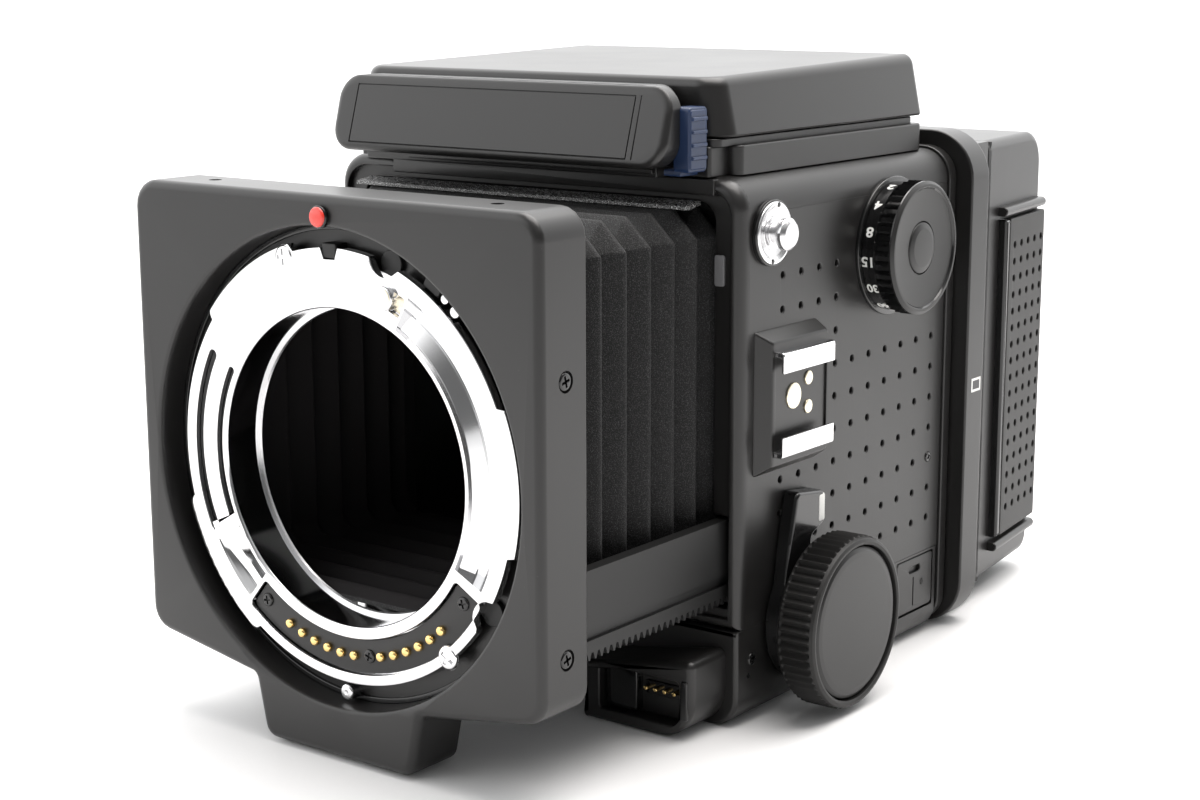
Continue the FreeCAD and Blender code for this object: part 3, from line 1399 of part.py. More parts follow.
def finder_lid():
    """The hood's lid: a shallow box with leaning sides, hollow below, with ears for the magnifier."""
    body = piece("finder_lid")
    heel = lid_low + lid_back_wall
    pad(body, "YZ", -finder_half, finder_half, outline(
        (-lid_front, lid_low), (lid_back, lid_low), (lid_back - lid_back_lean, heel, lid_back_round),
        (lid_back - lid_back_draw, lid_back_top, lid_top_round),
        (-lid_front, lid_front_top, lid_front_round)))
    top = lid_back_top + lid_wall
    clear = finder_half + lid_wall
    slope = (finder_half - lid_top_half) / (lid_back_top - lid_low)
    wedge = [(finder_half, lid_low), (clear, lid_low), (clear, top),
             (finder_half - slope * (top - lid_low), top)]
    for corners in (wedge, mirrored(wedge)):
        cut(body, "XZ", -lid_front - lid_wall, lid_back + lid_wall, outline(*corners))
    inner = lid_top_half - lid_wall
    wall = lid_wall
    ceiling = lid_front_top - wall
    cut(body, "YZ", -inner, inner, outline(
        (wall - lid_front, lid_low), (lid_back - wall - ear_play, lid_low),
        (lid_back - wall - lid_back_lean, heel - ear_play, lid_inner_round),
        (lid_back - lid_back_draw - lid_ceiling_draw, lid_back_top - wall - lid_ceiling_drop),
        (wall - lid_front, ceiling)))
    for side in (-1, 1):
        x = side * lens_ear_x
        reach = lens_rod + lens_ear_wall
        pad(body, "XY", lens_z - reach, ceiling + wall / 2, rect(
            x - lens_ear_half, -lens_hinge_y - reach, x + lens_ear_half, reach - lens_hinge_y))
    end = lens_ear_x + wall
    cut(body, "YZ", -end, end, circle(-lens_hinge_y, lens_z, lens_rod + slide_fit))
    return body


def magnifier():
    """The focusing magnifier: a lens in a ring, on an arm that swings down from the lid."""
    body = piece("magnifier")
    low = lens_z - lens_thick / 2
    high = low + lens_thick
    centre = lens_arm - lens_hinge_y
    pad(body, "XY", low, high, circle(0, centre, lens_radius))
    pad(body, "XY", low, high, rect(
        -lens_arm_half, -lens_hinge_y, lens_arm_half, centre - lens_radius + lens_arm_lap))
    end = lens_ear_x + lens_ear_half + lens_rod_play
    pad(body, "YZ", -end, end, circle(-lens_hinge_y, lens_z, lens_rod))
    cut(body, "XY", low, high, circle(0, centre, lens_radius - lens_rim))
    return body


def magnifier_lens():
    """The magnifier's lens, domed on both faces."""
    body = piece("magnifier_lens")
    edge = lens_radius - lens_rim
    half = lens_thick / 2
    shoulder = (half * 0.8, edge * 0.6)
    turn(body, "Z", (0, lens_arm - lens_hinge_y), [
        (lens_z - half, 0.0), (lens_z + half, 0.0), (lens_z + shoulder[0], shoulder[1]),
        (lens_z + lens_edge, edge), (lens_z - lens_edge, edge), (lens_z - shoulder[0], shoulder[1])])
    return body


def name_block():
    """The block above the bellows with a leaning front, bare, carried by the finder's base."""
    body = piece("name_block")
    pad(body, "XZ", -hump_front, -finder_nose, rect(-hump_half, hump_low, hump_half, hump_high, hump_corner))
    slope = hump_lean / (hump_high - hump_low)
    top = hump_high + 1.0
    cut(body, "YZ", -hump_half, hump_half, outline(
        (-hump_front, hump_low), (slope * (top - hump_low) - hump_front, top), (-hump_front, top)))
    cut(body, "YZ", -hump_half, hump_half, rect(-hump_back, finder_height, -finder_nose, top))
    cut(body, "YZ", -plate_left, plate_right, plate_outline(plate_depth))
    cut(body, "YZ", latch_inner - latch_stroke, hump_half,
        rect(-latch_front - small_gap, hump_low, -finder_nose, top))
    return body


def plate_outline(depth):
    """A strip parallel to the name block's leaning front, sunk into it by depth."""
    slope = hump_lean / (hump_high - hump_low)
    low = slope * (plate_low - hump_low) - hump_front
    high = slope * (plate_high - hump_low) - hump_front
    return outline((low, plate_low), (low + depth, plate_low), (high + depth, plate_high), (high, plate_high))


def bare_plate():
    """The blank plate in the name block's front."""
    body = piece("bare_plate")
    slope = hump_lean / (hump_high - hump_low)
    low = slope * (plate_low - hump_low) - hump_front
    high = slope * (plate_high - hump_low) - hump_front
    back, skin = plate_depth, plate_depth / 2
    pad(body, "YZ", plate_end - plate_left, plate_right - plate_end, outline(
        (low + skin, plate_low), (low + back, plate_low),
        (high + back, plate_high), (high + skin, plate_high)))
    return body


def finder_latch():
    """The hood's push latch with its finger ridges."""
    body = piece("finder_latch")
    pad(body, "YZ", latch_inner, latch_outer, rect(
        -latch_front, latch_low, -latch_back, latch_high, latch_corner))
    step = (latch_high - latch_low - latch_margin * 2) / latch_ridges
    first = latch_low + latch_margin
    ridge = pad(body, "YZ", latch_outer, latch_outer + latch_ridge, rect(
        latch_inset - latch_front, first, -latch_back - latch_inset, first + step * 0.55))
    row_array(body, ridge, "V_Axis", step * (latch_ridges - 1), latch_ridges)
    return body


def revolving_adapter():
    """The revolving back adapter: a square plate on a round bearing ring, with a film frame."""
    body = piece("revolving_adapter")
    face = body_back + flange_thick + small_gap
    rear = adapter_rear
    ring_front = body_back + small_gap
    pad(body, "XZ", face, rear, rect(
        -adapter_half, axis_height - adapter_half, adapter_half, axis_height + adapter_half, adapter_corner))
    pad(body, "XZ", ring_front, face, circle(0, axis_height, ring_radius))
    cut(body, "XZ", ring_front, rear - adapter_frame, circle(0, axis_height, ring_bore))
    wide, tall = film_half + film_margin, film_tall + film_margin
    cut(body, "XZ", rear - adapter_frame, rear, rect(-wide, axis_height - tall, wide, axis_height + tall))
    outer = adapter_half.value - adapter_corner.value * 1.1
    soften(body, adapter_bevel, lambda e: near(e.BoundBox.YMin, rear) and near(e.BoundBox.YMax, rear)
           and max(abs(e.BoundBox.XMax), abs(e.BoundBox.XMin)) > outer, "Chamfer")
    return body


def case_side(y):
    """Half the magazine's width at a depth: its sides draw in evenly towards the back."""
    slope = (case_half - case_back_half) / (case_back - adapter_rear)
    return case_half - slope * (dim(y) - adapter_rear)


def hinge_ends():
    """Where the magazine's hinge starts and ends, and the length of each of its knuckles."""
    low = axis_height - case_tall + hinge_margin
    high = axis_height + case_tall - hinge_margin
    return low, high, case_tall / 3


def magazine_frame():
    """The magazine's front half: film gate, dark slide slot and the seat of the film insert."""
    body = piece("magazine_frame")
    low, high = axis_height - case_tall, axis_height + case_tall
    side = case_side(case_split)
    pad(body, "XY", low, high, outline(
        (-case_half, adapter_rear), (case_half, adapter_rear), (side, case_split), (-side, case_split)))
    cut(body, "XZ", film_deck, case_split, rect(
        case_wall - side, low + case_wall, side - case_wall, high - case_wall))
    cut(body, "XZ", adapter_rear, film_deck, rect(
        -film_half, axis_height - film_tall, film_half, axis_height + film_tall))
    slot = slide_thick / 2 + slide_play
    middle = adapter_rear + slide_set_back
    tall = slide_tall + slide_edge_play
    cut(body, "YZ", -case_half, slide_reach + slide_end_play, rect(
        middle - slot, axis_height - tall, middle + slot, axis_height + tall))
    start, end, long = hinge_ends()
    for foot in (start, end - long):
        pad(body, "XY", foot, foot + long, circle(-case_hinge_x, case_hinge_y, knuckle))
    cut(body, "XY", start + long, end - long, circle(-case_hinge_x, case_hinge_y, knuckle + small_gap))
    cut(body, "XY", start, end, circle(-case_hinge_x, case_hinge_y, knuckle_pin + slide_fit))
    return body


def magazine_cover():
    """The magazine's back: a hollow door with drawn-in sides and two ledges, hinged at one side."""
    body = piece("magazine_cover")
    front = case_split + small_gap
    low, high = axis_height - case_tall, axis_height + case_tall
    side = case_side(front)
    pad(body, "XY", low, high, outline(
        (-side, front), (side, front), (case_back_half, case_back, case_edge),
        (-case_back_half, case_back, case_edge)))
    soften(body, case_top_round, lambda e: along(e, "X") and near(e.BoundBox.ZMin, high)
           and near(e.BoundBox.YMin, case_back))
    soften(body, case_low_round, lambda e: along(e, "X") and near(e.BoundBox.ZMin, low)
           and near(e.BoundBox.YMin, case_back))
    wall = case_wall
    back_side = case_side(case_back - wall)
    cut(body, "XY", low + wall, high - wall, outline(
        (wall - side, front), (side - wall, front), (back_side - wall, case_back - wall),
        (wall - back_side, case_back - wall)))
    round_wall = case_top_round - wall
    pad(body, "YZ", wall - back_side, back_side - wall, outline(
        (case_back - wall, high - wall), (case_back - wall - round_wall, high - wall),
        (case_back - wall, high - wall - round_wall)))
    for start in (panel_low - ledge_height - ledge_low_gap, panel_high + ledge_high_gap):
        pad(body, "XY", start, start + ledge_height,
            side_strip(ledge_front, case_back - ledge_end, ledge_proud))
    start, end, long = hinge_ends()
    room = knuckle + small_gap
    for foot in (start, end - long):
        cut(body, "XY", foot - small_gap, foot + long + small_gap, circle(-case_hinge_x, case_hinge_y, room))
    pad(body, "XY", start + long + small_gap, end - long - small_gap,
        circle(-case_hinge_x, case_hinge_y, knuckle))
    pad(body, "XY", start + hinge_end_play, end - hinge_end_play,
        circle(-case_hinge_x, case_hinge_y, knuckle_pin))
    return body


def side_strip(start, end, proud):
    """A strip on the magazine's slanting left side, standing proud of it."""
    return outline((case_side(start), start), (case_side(start) + proud, start),
                   (case_side(end) + proud, end), (case_side(end), end))


def grip_panel():
    """The grip panel on the magazine's left side."""
    body = piece("grip_panel")
    pad(body, "XY", panel_low, panel_high, side_strip(panel_front, case_back - panel_end, panel_proud))
    return body


def film_insert():
    """The film insert: two cheeks, the pressure plate between them and studs for the spools."""
    body = piece("film_insert")
    deck = film_deck + insert_lift
    pad(body, "XZ", deck, deck + web_thick, rect(
        -cheek_inner, axis_height - web_tall, cheek_inner, axis_height + web_tall))
    rear = deck + cheek_depth
    waist = deck + cheek_waist
    low_end, high_end = axis_height - cheek_tall, axis_height + cheek_tall
    low_web, high_web = axis_height - web_tall, axis_height + web_tall
    for low, high in ((cheek_inner, cheek_inner + cheek_thick), (-cheek_inner - cheek_thick, -cheek_inner)):
        pad(body, "YZ", low, high, outline(
            (deck, low_end), (rear, low_end, cheek_corner), (rear, low_web, cheek_corner),
            (waist, low_web, cheek_fillet), (waist, high_web, cheek_fillet),
            (rear, high_web, cheek_corner), (rear, high_end, cheek_corner), (deck, high_end)))
        for way in (-1, 1):
            stud = circle(spool_y, axis_height + way * spool_offset, spool_bore - slide_fit)
            start, end = (low - stud_length, low) if low.value > 0 else (high, high + stud_length)
            pad(body, "YZ", start, end, stud)
    return body


def take_up_spool():
    """The take-up spool: a bored core between two flanges."""
    body = piece("take_up_spool")
    half = spool_half
    face = half - spool_plate
    turn(body, "X", (spool_y, axis_height + spool_offset), [
        (-half, spool_bore), (half, spool_bore), (half, spool_flange), (face, spool_flange),
        (face, spool_core), (-face, spool_core), (-face, spool_flange), (-half, spool_flange)])
    return body


def dark_slide():
    """The dark slide: a thin blade and the bow that it is pulled by."""
    body = piece("dark_slide")
    middle = adapter_rear + slide_set_back
    inner, outer = -case_half - bow_in, -case_half - bow_out
    pad(body, "XZ", middle - slide_thick / 2, middle + slide_thick / 2, rect(
        inner - bow_in, axis_height - slide_tall, slide_reach, axis_height + slide_tall))
    pad(body, "XZ", middle - bow_thick, middle + bow_thick, rect(
        outer, axis_height - bow_tall, inner, axis_height + bow_tall, bow_corner))
    tall = bow_tall - bow_end
    cut(body, "XZ", middle - bow_thick, middle + bow_thick, rect(
        outer + bow_bar, axis_height - tall, inner - bow_bar, axis_height + tall, bow_corner - bow_in))
    return body


front_frame()
body_shell()
side_cover("side_cover_left", 1)
side_cover("side_cover_right", -1)
back_flange()
base()
port_lobe()
release_lobe()
battery_holder()
battery_cover()
tripod_bush()
cable_pins()
bellows()
rail("rail_left", 1)
rail("rail_right", -1)
focus_shaft()
knob("knob_left", 1)
knob("knob_right", -1)
knob_face("knob_face_left", 1)
knob_face("knob_face_right", -1)
lock_lever()
front_standard()
mount_ring()
contact_block()
contact_pins()
index_dot()
lens_lock_pin()
strap_lug("strap_lug_left", 1)
strap_lug("strap_lug_right", -1)
dial_base()
shutter_dial()
dial_cap()
shoe_plinth()
shoe_rail("shoe_rail_upper", 1)
shoe_rail("shoe_rail_lower", -1)
shoe_contacts()
cocking_lever()
release_collar()
release_button()
mirror_carrier()
mirror_glass()
focusing_screen()
finder_base()
side_flap("hood_left", 1)
side_flap("hood_right", -1)
hood_back()
finder_lid()
magnifier()
magnifier_lens()
name_block()
bare_plate()
finder_latch()
revolving_adapter()
magazine_frame()
magazine_cover()
grip_panel()
film_insert()
take_up_spool()
dark_slide()
doc.recompute()

for thing in doc.Objects:
    if "Invalid" in thing.State or "Error" in thing.State:
        raise RuntimeError("%s did not build" % thing.Label)
for node in nodes:
    if node.Shape.isNull() or not node.Shape.isValid():
        raise RuntimeError("%s has no valid shape" % node.Label)
os.makedirs("parts", exist_ok=True)
for node in nodes:
    node.Shape.exportStep("parts/%s.step" % node.Label)
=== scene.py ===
"""A medium format camera with a focusing bellows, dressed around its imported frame."""
import json
import math

import bmesh
import bpy
from mathutils import Matrix, Vector


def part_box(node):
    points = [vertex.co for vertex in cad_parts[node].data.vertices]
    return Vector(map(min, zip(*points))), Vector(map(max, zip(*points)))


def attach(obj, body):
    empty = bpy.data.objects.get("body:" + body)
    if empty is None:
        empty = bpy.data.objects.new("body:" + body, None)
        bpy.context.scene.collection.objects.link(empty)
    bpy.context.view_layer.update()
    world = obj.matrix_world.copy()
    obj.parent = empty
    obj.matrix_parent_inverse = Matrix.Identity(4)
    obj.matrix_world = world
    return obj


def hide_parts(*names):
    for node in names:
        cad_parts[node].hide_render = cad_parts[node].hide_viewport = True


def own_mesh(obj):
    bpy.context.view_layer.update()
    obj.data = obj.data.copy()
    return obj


bl_info = {
    "name": "Bellows camera",
    "version": (1, 0, 0),
    "blender": (4, 5, 0),
    "location": "View3D > Sidebar > Bellows camera",
    "description": "Builds the detailed pieces, the finishes and the stage of a bellows camera around its packed frame",
    "category": "Object",
}

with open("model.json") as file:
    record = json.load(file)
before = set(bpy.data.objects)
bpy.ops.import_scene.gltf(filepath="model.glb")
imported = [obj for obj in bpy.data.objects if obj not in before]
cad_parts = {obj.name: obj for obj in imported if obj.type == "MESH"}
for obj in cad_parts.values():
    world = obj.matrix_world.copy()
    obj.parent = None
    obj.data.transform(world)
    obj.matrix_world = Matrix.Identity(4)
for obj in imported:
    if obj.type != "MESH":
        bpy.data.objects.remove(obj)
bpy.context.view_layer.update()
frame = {"nodes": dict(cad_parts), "record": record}
MM = 0.001
TURN = 2 * math.pi
THROAT = next(m for m in frame["record"]["mounts"] if m["name"] == "lens_throat")

# Places that several pieces share, in millimetres; pairs are (back, up), and (right, up) for the release
AXIS = THROAT["pos_m"][2] / MM
BODY_HALF = 52.0
KNOB = (-17.8, 19.0)
DIAL = (16.5, 90.6)
LUG = (-30.6, 98.0)
LEVER = (12.0, 78.0)
RELEASE = (-36.0, 7.2)
SHARP = 32.0


def span(node):
    """A node's lowest and highest corners, in millimetres."""
    low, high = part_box(node)
    return low / MM, high / MM


# Sizes and colours that a user would change


def length(name, description, millimetres):
    return bpy.props.FloatProperty(
        name=name, description=description, default=millimetres * MM, min=0.0,
        unit="LENGTH", subtype="DISTANCE", precision=5)


def number(name, description, value):
    return bpy.props.IntProperty(name=name, description=description, default=value, min=3)


def colour(name, description, red, green, blue):
    return bpy.props.FloatVectorProperty(
        name=name, description=description, default=(red, green, blue), size=3,
        min=0.0, max=1.0, subtype="COLOR")


class CameraSizes(bpy.types.PropertyGroup):
    moulded_edge: length("Moulded edge", "Rounding of the body mouldings' edges", 0.9)
    side_dot: length("Side dot", "Radius of the dots sunk in the side covers", 0.7)
    side_dot_pitch: length("Side dot pitch", "Distance between the side covers' dots", 6.8)
    grip_dot: length("Grip dot", "Radius of the dots sunk in the film back's panel", 0.85)
    grip_dot_pitch: length("Grip dot pitch", "Distance between the panel's rows of dots", 3.98)
    fold_softness: length("Fold softness", "How far each bellows ridge is rounded off", 0.5)
    numeral: length("Numeral", "Size of the figures on the shutter dial", 2.9)
    knob_ribs: number("Knob ribs", "Ribs round each focusing knob", 60)
    dial_notches: number("Dial notches", "Notches round the shutter dial's head", 40)


class CameraColours(bpy.types.PropertyGroup):
    moulding: colour("Moulding", "Satin black of the body mouldings", 0.0115, 0.011, 0.0108)
    cloth: colour("Bellows cloth", "Grained black of the bellows", 0.006, 0.006, 0.0062)
    chrome: colour("Chrome", "Bright plated metal", 0.93, 0.93, 0.94)
    brass: colour("Gold plating", "Plated contacts", 0.92, 0.66, 0.27)
    index: colour("Index mark", "Red enamel of the index mark", 0.72, 0.035, 0.02)
    latch: colour("Latch", "Blue moulding of the hood's latch", 0.012, 0.027, 0.075)
    marks: colour("Marks", "White paint of figures and lines", 0.86, 0.86, 0.83)
    floor: colour("Floor", "The stage's pale paper", 0.86, 0.86, 0.86)


# Outlines: flat loops of (across, up), and the faces of the camera they are drawn on


def on_front(u, v, w):
    return (u, -w, v)


def on_back(u, v, w):
    return (-u, w, v)


def on_left(u, v, w):
    return (w, u, v)


def on_right(u, v, w):
    return (-w, -u, v)


def on_top(u, v, w):
    return (u, v, w)


def on_bottom(u, v, w):
    return (u, -v, -w)


# Each side's name, face and sign
SIDES = (("left", on_left, 1), ("right", on_right, -1))


def raised(place, base):
    """The same face of the camera, with heights counted from base."""
    def above(u, v, w):
        return place(u, v, base + w)
    return above


def on_circle(u, v, radius, angle):
    return (u + radius * math.cos(angle), v + radius * math.sin(angle))


def round_lens(radius, degrees):
    """A point on a circle round the lens's axis."""
    return on_circle(0, AXIS, radius, math.radians(degrees))


def eased(corners, closed=True, steps=5):
    """Draws an arc at every corner given as (across, up, radius); what follows is kept."""
    points = []
    count = len(corners)
    for i, corner in enumerate(corners):
        here = Vector(corner[:2])
        radius = corner[2] if len(corner) > 2 else 0.0
        rest = tuple(corner[3:])
        back = Vector(corners[i - 1][:2]) - here
        ahead = Vector(corners[(i + 1) % count][:2]) - here
        at_end = not closed and i in (0, count - 1)
        if radius <= 0 or at_end or back.length * ahead.length < 1e-9 or back.angle(ahead) > 3.12:
            points.append(tuple(here) + rest)
            continue
        half = back.angle(ahead) / 2
        reach = min(radius / math.tan(half), back.length * 0.499, ahead.length * 0.499)
        radius = reach * math.tan(half)
        back.normalize()
        ahead.normalize()
        centre = here + (back + ahead).normalized() * (radius / math.sin(half))
        first = here + back * reach - centre
        last = here + ahead * reach - centre
        start = math.atan2(first.y, first.x)
        sweep = (math.atan2(last.y, last.x) - start + math.pi) % TURN - math.pi
        for k in range(steps + 1):
            angle = start + sweep * k / steps
            points.append(on_circle(centre.x, centre.y, radius, angle) + rest)
    return points


def block(u0, v0, u1, v1, radius=0.0, steps=5):
    """A rectangle with rounded corners."""
    corners = ((u0, v0), (u1, v0), (u1, v1), (u0, v1))
    return eased([corner + (radius,) for corner in corners], steps=steps)


def disc(u, v, radius, count=64):
    return [on_circle(u, v, radius, TURN * i / count) for i in range(count)]


def arc_slot(inner, outer, start, end, radius=0.0):
    """A piece of a ring round the lens's axis between two angles in degrees, its corners rounded."""
    count = max(2, int(abs(end - start) / 3.0))
    angles = [start + (end - start) * i / count for i in range(count + 1)]
    corners = [round_lens(outer, angle) for angle in angles]
    corners += [round_lens(inner, angle) for angle in reversed(angles)]
    for i in (0, count, count + 1, 2 * count + 1):
        corners[i] = corners[i] + (radius,)
    return eased(corners, steps=4)


def both_sides(corners):
    """An outline's right half, given from the bottom up, with its mirror image."""
    return list(corners) + [(-c[0],) + tuple(c[1:]) for c in reversed(corners)]


def wound(points):
    """The same loop run anticlockwise."""
    pairs = zip(points, points[1:] + points[:1])
    area = sum(a[0] * b[1] - b[0] * a[1] for a, b in pairs)
    return points if area > 0 else points[::-1]


def inset(points, depth):
    """The same loop drawn in by depth, corner by corner."""
    if not depth:
        return points
    drawn = []
    for i, (u, v) in enumerate(points):
        before, after = points[i - 1], points[(i + 1) % len(points)]
        came = Vector((u - before[0], v - before[1])).normalized()
        goes = Vector((after[0] - u, after[1] - v)).normalized()
        out = Vector((came.y + goes.y, -came.x - goes.x)) / max(0.3, 1 + came.dot(goes))
        drawn.append((u - out.x * depth, v - out.y * depth))
    return drawn


def quarter_round(high, across, down, steps):
    """The levels of a rounded edge, from the wall up to the face at high."""
    angles = [math.pi / 2 * k / steps for k in range(steps + 1)]
    return [(across * (1 - math.cos(angle)), high - down * (1 - math.sin(angle))) for angle in angles]


def edge_levels(low, high, edge_low, edge_high, steps=4):
    """How far in and how high a rounded slab's edge runs, from its lower face to its upper one."""
    lower, upper = [(0.0, low)], [(0.0, high)]
    if edge_low > 0:
        lower = [(depth, -w) for depth, w in reversed(quarter_round(-low, edge_low, edge_low, steps))]
    if edge_high > 0:
        upper = quarter_round(high, edge_high, edge_high, steps)
    return lower + upper


class Form:
    """A mesh in the making, in millimetres."""

    def __init__(self):
        self.mesh = bmesh.new()
        self.finish = 0

    def ring(self, place, points, w):
        return [self.mesh.verts.new(place(point[0], point[1], w)) for point in points]

    def face(self, corners):
        face = self.mesh.faces.new(corners)
        face.material_index = self.finish
        face.smooth = True
        return face

    def skin(self, low, high, hollow=False):
        """Walls between two rings of as many points; a hollow's walls face inwards."""
        for a, b, c, d in zip(low, low[1:] + low[:1], high, high[1:] + high[:1]):
            self.face((b, a, c, d) if hollow else (a, b, d, c))

    def wall(self, place, outline, levels, hollow=False):
        """A wall round an outline, drawn in by each level's depth; gives its first and last rings."""
        way = -1 if hollow else 1
        outline = wound(outline)
        rings = [self.ring(place, inset(outline, depth * way), w) for depth, w in levels]
        for low, high in zip(rings, rings[1:]):
            self.skin(low, high, hollow)
        return rings[0], rings[-1]

    def cap(self, place, rings, up=True):
        """A flat face inside the first ring and round the others."""
        if len(rings) == 1:
            self.face(rings[0] if up else rings[0][::-1])
            return
        out = Vector(place(0, 0, 1)) - Vector(place(0, 0, 0))
        if not up:
            out.negate()
        edges = []
        for ring in rings:
            for pair in zip(ring, ring[1:] + ring[:1]):
                edges.append(self.mesh.edges.get(pair) or self.mesh.edges.new(pair))
        made = bmesh.ops.triangle_fill(
            self.mesh, use_beauty=True, use_dissolve=False, edges=edges, normal=out)
        for face in made["geom"]:
            if isinstance(face, bmesh.types.BMFace):
                face.material_index = self.finish
                face.smooth = True
                face.normal_update()
                if face.normal.dot(out) < 0:
                    face.normal_flip()

    def plate(self, place, outline, low, high, edge_low=0.0, edge_high=0.0, holes=(), steps=4):
        """A rounded slab. A hole is (outline, floor, mouth); its floor is None where it runs through."""
        first, last = self.wall(place, outline, edge_levels(low, high, edge_low, edge_high, steps))
        feet, rims = [first], [last]
        for hole, floor, mouth in holes:
            start = low if floor is None else floor
            foot, rim = self.wall(place, hole, edge_levels(start, high, 0.0, mouth, 3), hollow=True)
            rims.append(rim)
            if floor is None:
                feet.append(foot)
            else:
                self.cap(place, [foot])
        self.cap(place, feet, up=False)
        self.cap(place, rims)

    def turned(self, place, u, v, profile, count=64, wave=None, closed=False, steps=4):
        """Spins a profile of (radius, height, rounding, share of the wave) round an axis."""
        rings = []
        for corner in eased(profile, closed=closed, steps=steps):
            radius, w = corner[:2]
            share = corner[2] if len(corner) > 2 else 0.0
            if radius < 1e-6:
                rings.append([self.mesh.verts.new(place(u, v, w))])
                continue
            points = []
            for i in range(count):
                angle = TURN * i / count
                reach = radius + (share * wave(angle) if share else 0.0)
                points.append(on_circle(u, v, reach, angle))
            rings.append(self.ring(place, points, w))
        if closed:
            rings.append(rings[0])
        for low, high in zip(rings, rings[1:]):
            if len(low) == 1:
                for a, b in zip(high, high[1:] + high[:1]):
                    self.face((low[0], b, a))
            elif len(high) == 1:
                for a, b in zip(low, low[1:] + low[:1]):
                    self.face((a, b, high[0]))
            else:
                self.skin(low, high)

    def rod(self, place, u, v, radius, low, high, edge=0.0, count=32):
        self.turned(place, u, v, [(0, low), (radius, low), (radius, high, edge), (0, high)], count)

    def screw(self, place, u, v, w, radius, turn=20.0, rise=0.45):
        """A round-headed screw with a crossed recess."""
        arm, half = radius * 0.64, radius * 0.15
        quarter = [(arm, -half), (arm, half), (half, half)]
        cross = []
        for k in range(4):
            way = Matrix.Rotation(math.radians(90 * k + turn), 2)
            cross += [tuple(way @ Vector(p) + Vector((u, v))) for p in quarter]
        top = w + radius * rise
        self.plate(place, disc(u, v, radius, 32), w - 0.1, top, 0.0, radius * 0.25,
                   holes=[(cross, w - radius * 0.05, 0.0)])

    def add_mesh(self, mesh):
        """Takes in a ready mesh, such as a figure's, with the finish in use."""
        count = len(self.mesh.faces)
        self.mesh.from_mesh(mesh)
        self.mesh.faces.ensure_lookup_table()
        for face in self.mesh.faces[count:]:
            face.material_index = self.finish

    def to_mesh(self, name):
        """The finished mesh, in metres."""
        bmesh.ops.recalc_face_normals(self.mesh, faces=self.mesh.faces)
        self.mesh.transform(Matrix.Scale(MM, 4))
        mesh = bpy.data.meshes.new(name)
        self.mesh.to_mesh(mesh)
        self.mesh.free()
        return mesh


def forms(count):
    return [Form() for _ in range(count)]


def placed(name, data):
    """A new object in the scene."""
    thing = bpy.data.objects.new(name, data)
    bpy.context.scene.collection.objects.link(thing)
    return thing


def even_out(piece):
    """Keeps flat faces flat beside their rounded edges."""
    normals = piece.modifiers.new("flat_faces", "WEIGHTED_NORMAL")
    normals.keep_sharp = True
    return piece


def settle(form, name, finishes, nodes="", body="body", sharp=SHARP, flat=False):
    """Makes a form a piece of the camera; names of finishes and nodes have spaces between them."""
    finishes, nodes = finishes.split(), nodes.split()
    bmesh.ops.remove_doubles(form.mesh, verts=form.mesh.verts, dist=1e-4)
    mesh = form.to_mesh(name)
    for kind in finishes:
        mesh.materials.append(finish(kind))
    mesh.set_sharp_from_angle(angle=math.radians(sharp))
    piece = placed(name, mesh)
    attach(piece, body)
    if nodes:
        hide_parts(*nodes)
    return even_out(piece) if flat else piece


def satin(form, name, nodes="", body="body"):
    """Makes a form a piece in the body's satin moulding."""
    return settle(form, name, "satin_moulding", nodes, body, flat=True)


def flatten(piece):
    """Gives a piece of the bellows its own copy of its mesh."""
    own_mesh(piece)


def carve(piece, cutter):
    """Takes a form out of a piece."""
    mesh = cutter.to_mesh(piece.name + "_cutter")
    tool = placed(mesh.name, mesh)
    change = piece.modifiers.new("carve", "BOOLEAN")
    change.operation = "DIFFERENCE"
    change.solver = "EXACT"
    change.object = tool
    bpy.context.view_layer.update()
    shaped = bpy.data.meshes.new_from_object(piece.evaluated_get(bpy.context.evaluated_depsgraph_get()))
    piece.modifiers.remove(change)
    old = piece.data
    piece.data = shaped
    shaped.name = old.name
    shaped.set_sharp_from_angle(angle=math.radians(SHARP))
    bpy.data.objects.remove(tool)
    bpy.data.meshes.remove(mesh)
    return even_out(piece)


# Finishes


def worked_out(kind, turned=False):
    """An operator of Value; turned is its reflected form, where the plain number comes first."""
    def operator(self, other):
        left, right = (other, self) if turned else (self, other)
        return self.owner.node("ShaderNodeMath", {"operation": kind}, {0: left, 1: right})
    return operator


class Value:
    """A shader socket that takes part in sums."""

    def __init__(self, owner, socket):
        self.owner = owner
        self.socket = socket

    __add__ = worked_out("ADD")
    __radd__ = worked_out("ADD", True)
    __sub__ = worked_out("SUBTRACT")
    __rsub__ = worked_out("SUBTRACT", True)
    __mul__ = worked_out("MULTIPLY")
    __rmul__ = worked_out("MULTIPLY", True)
    __lt__ = worked_out("LESS_THAN")
    __gt__ = worked_out("GREATER_THAN")


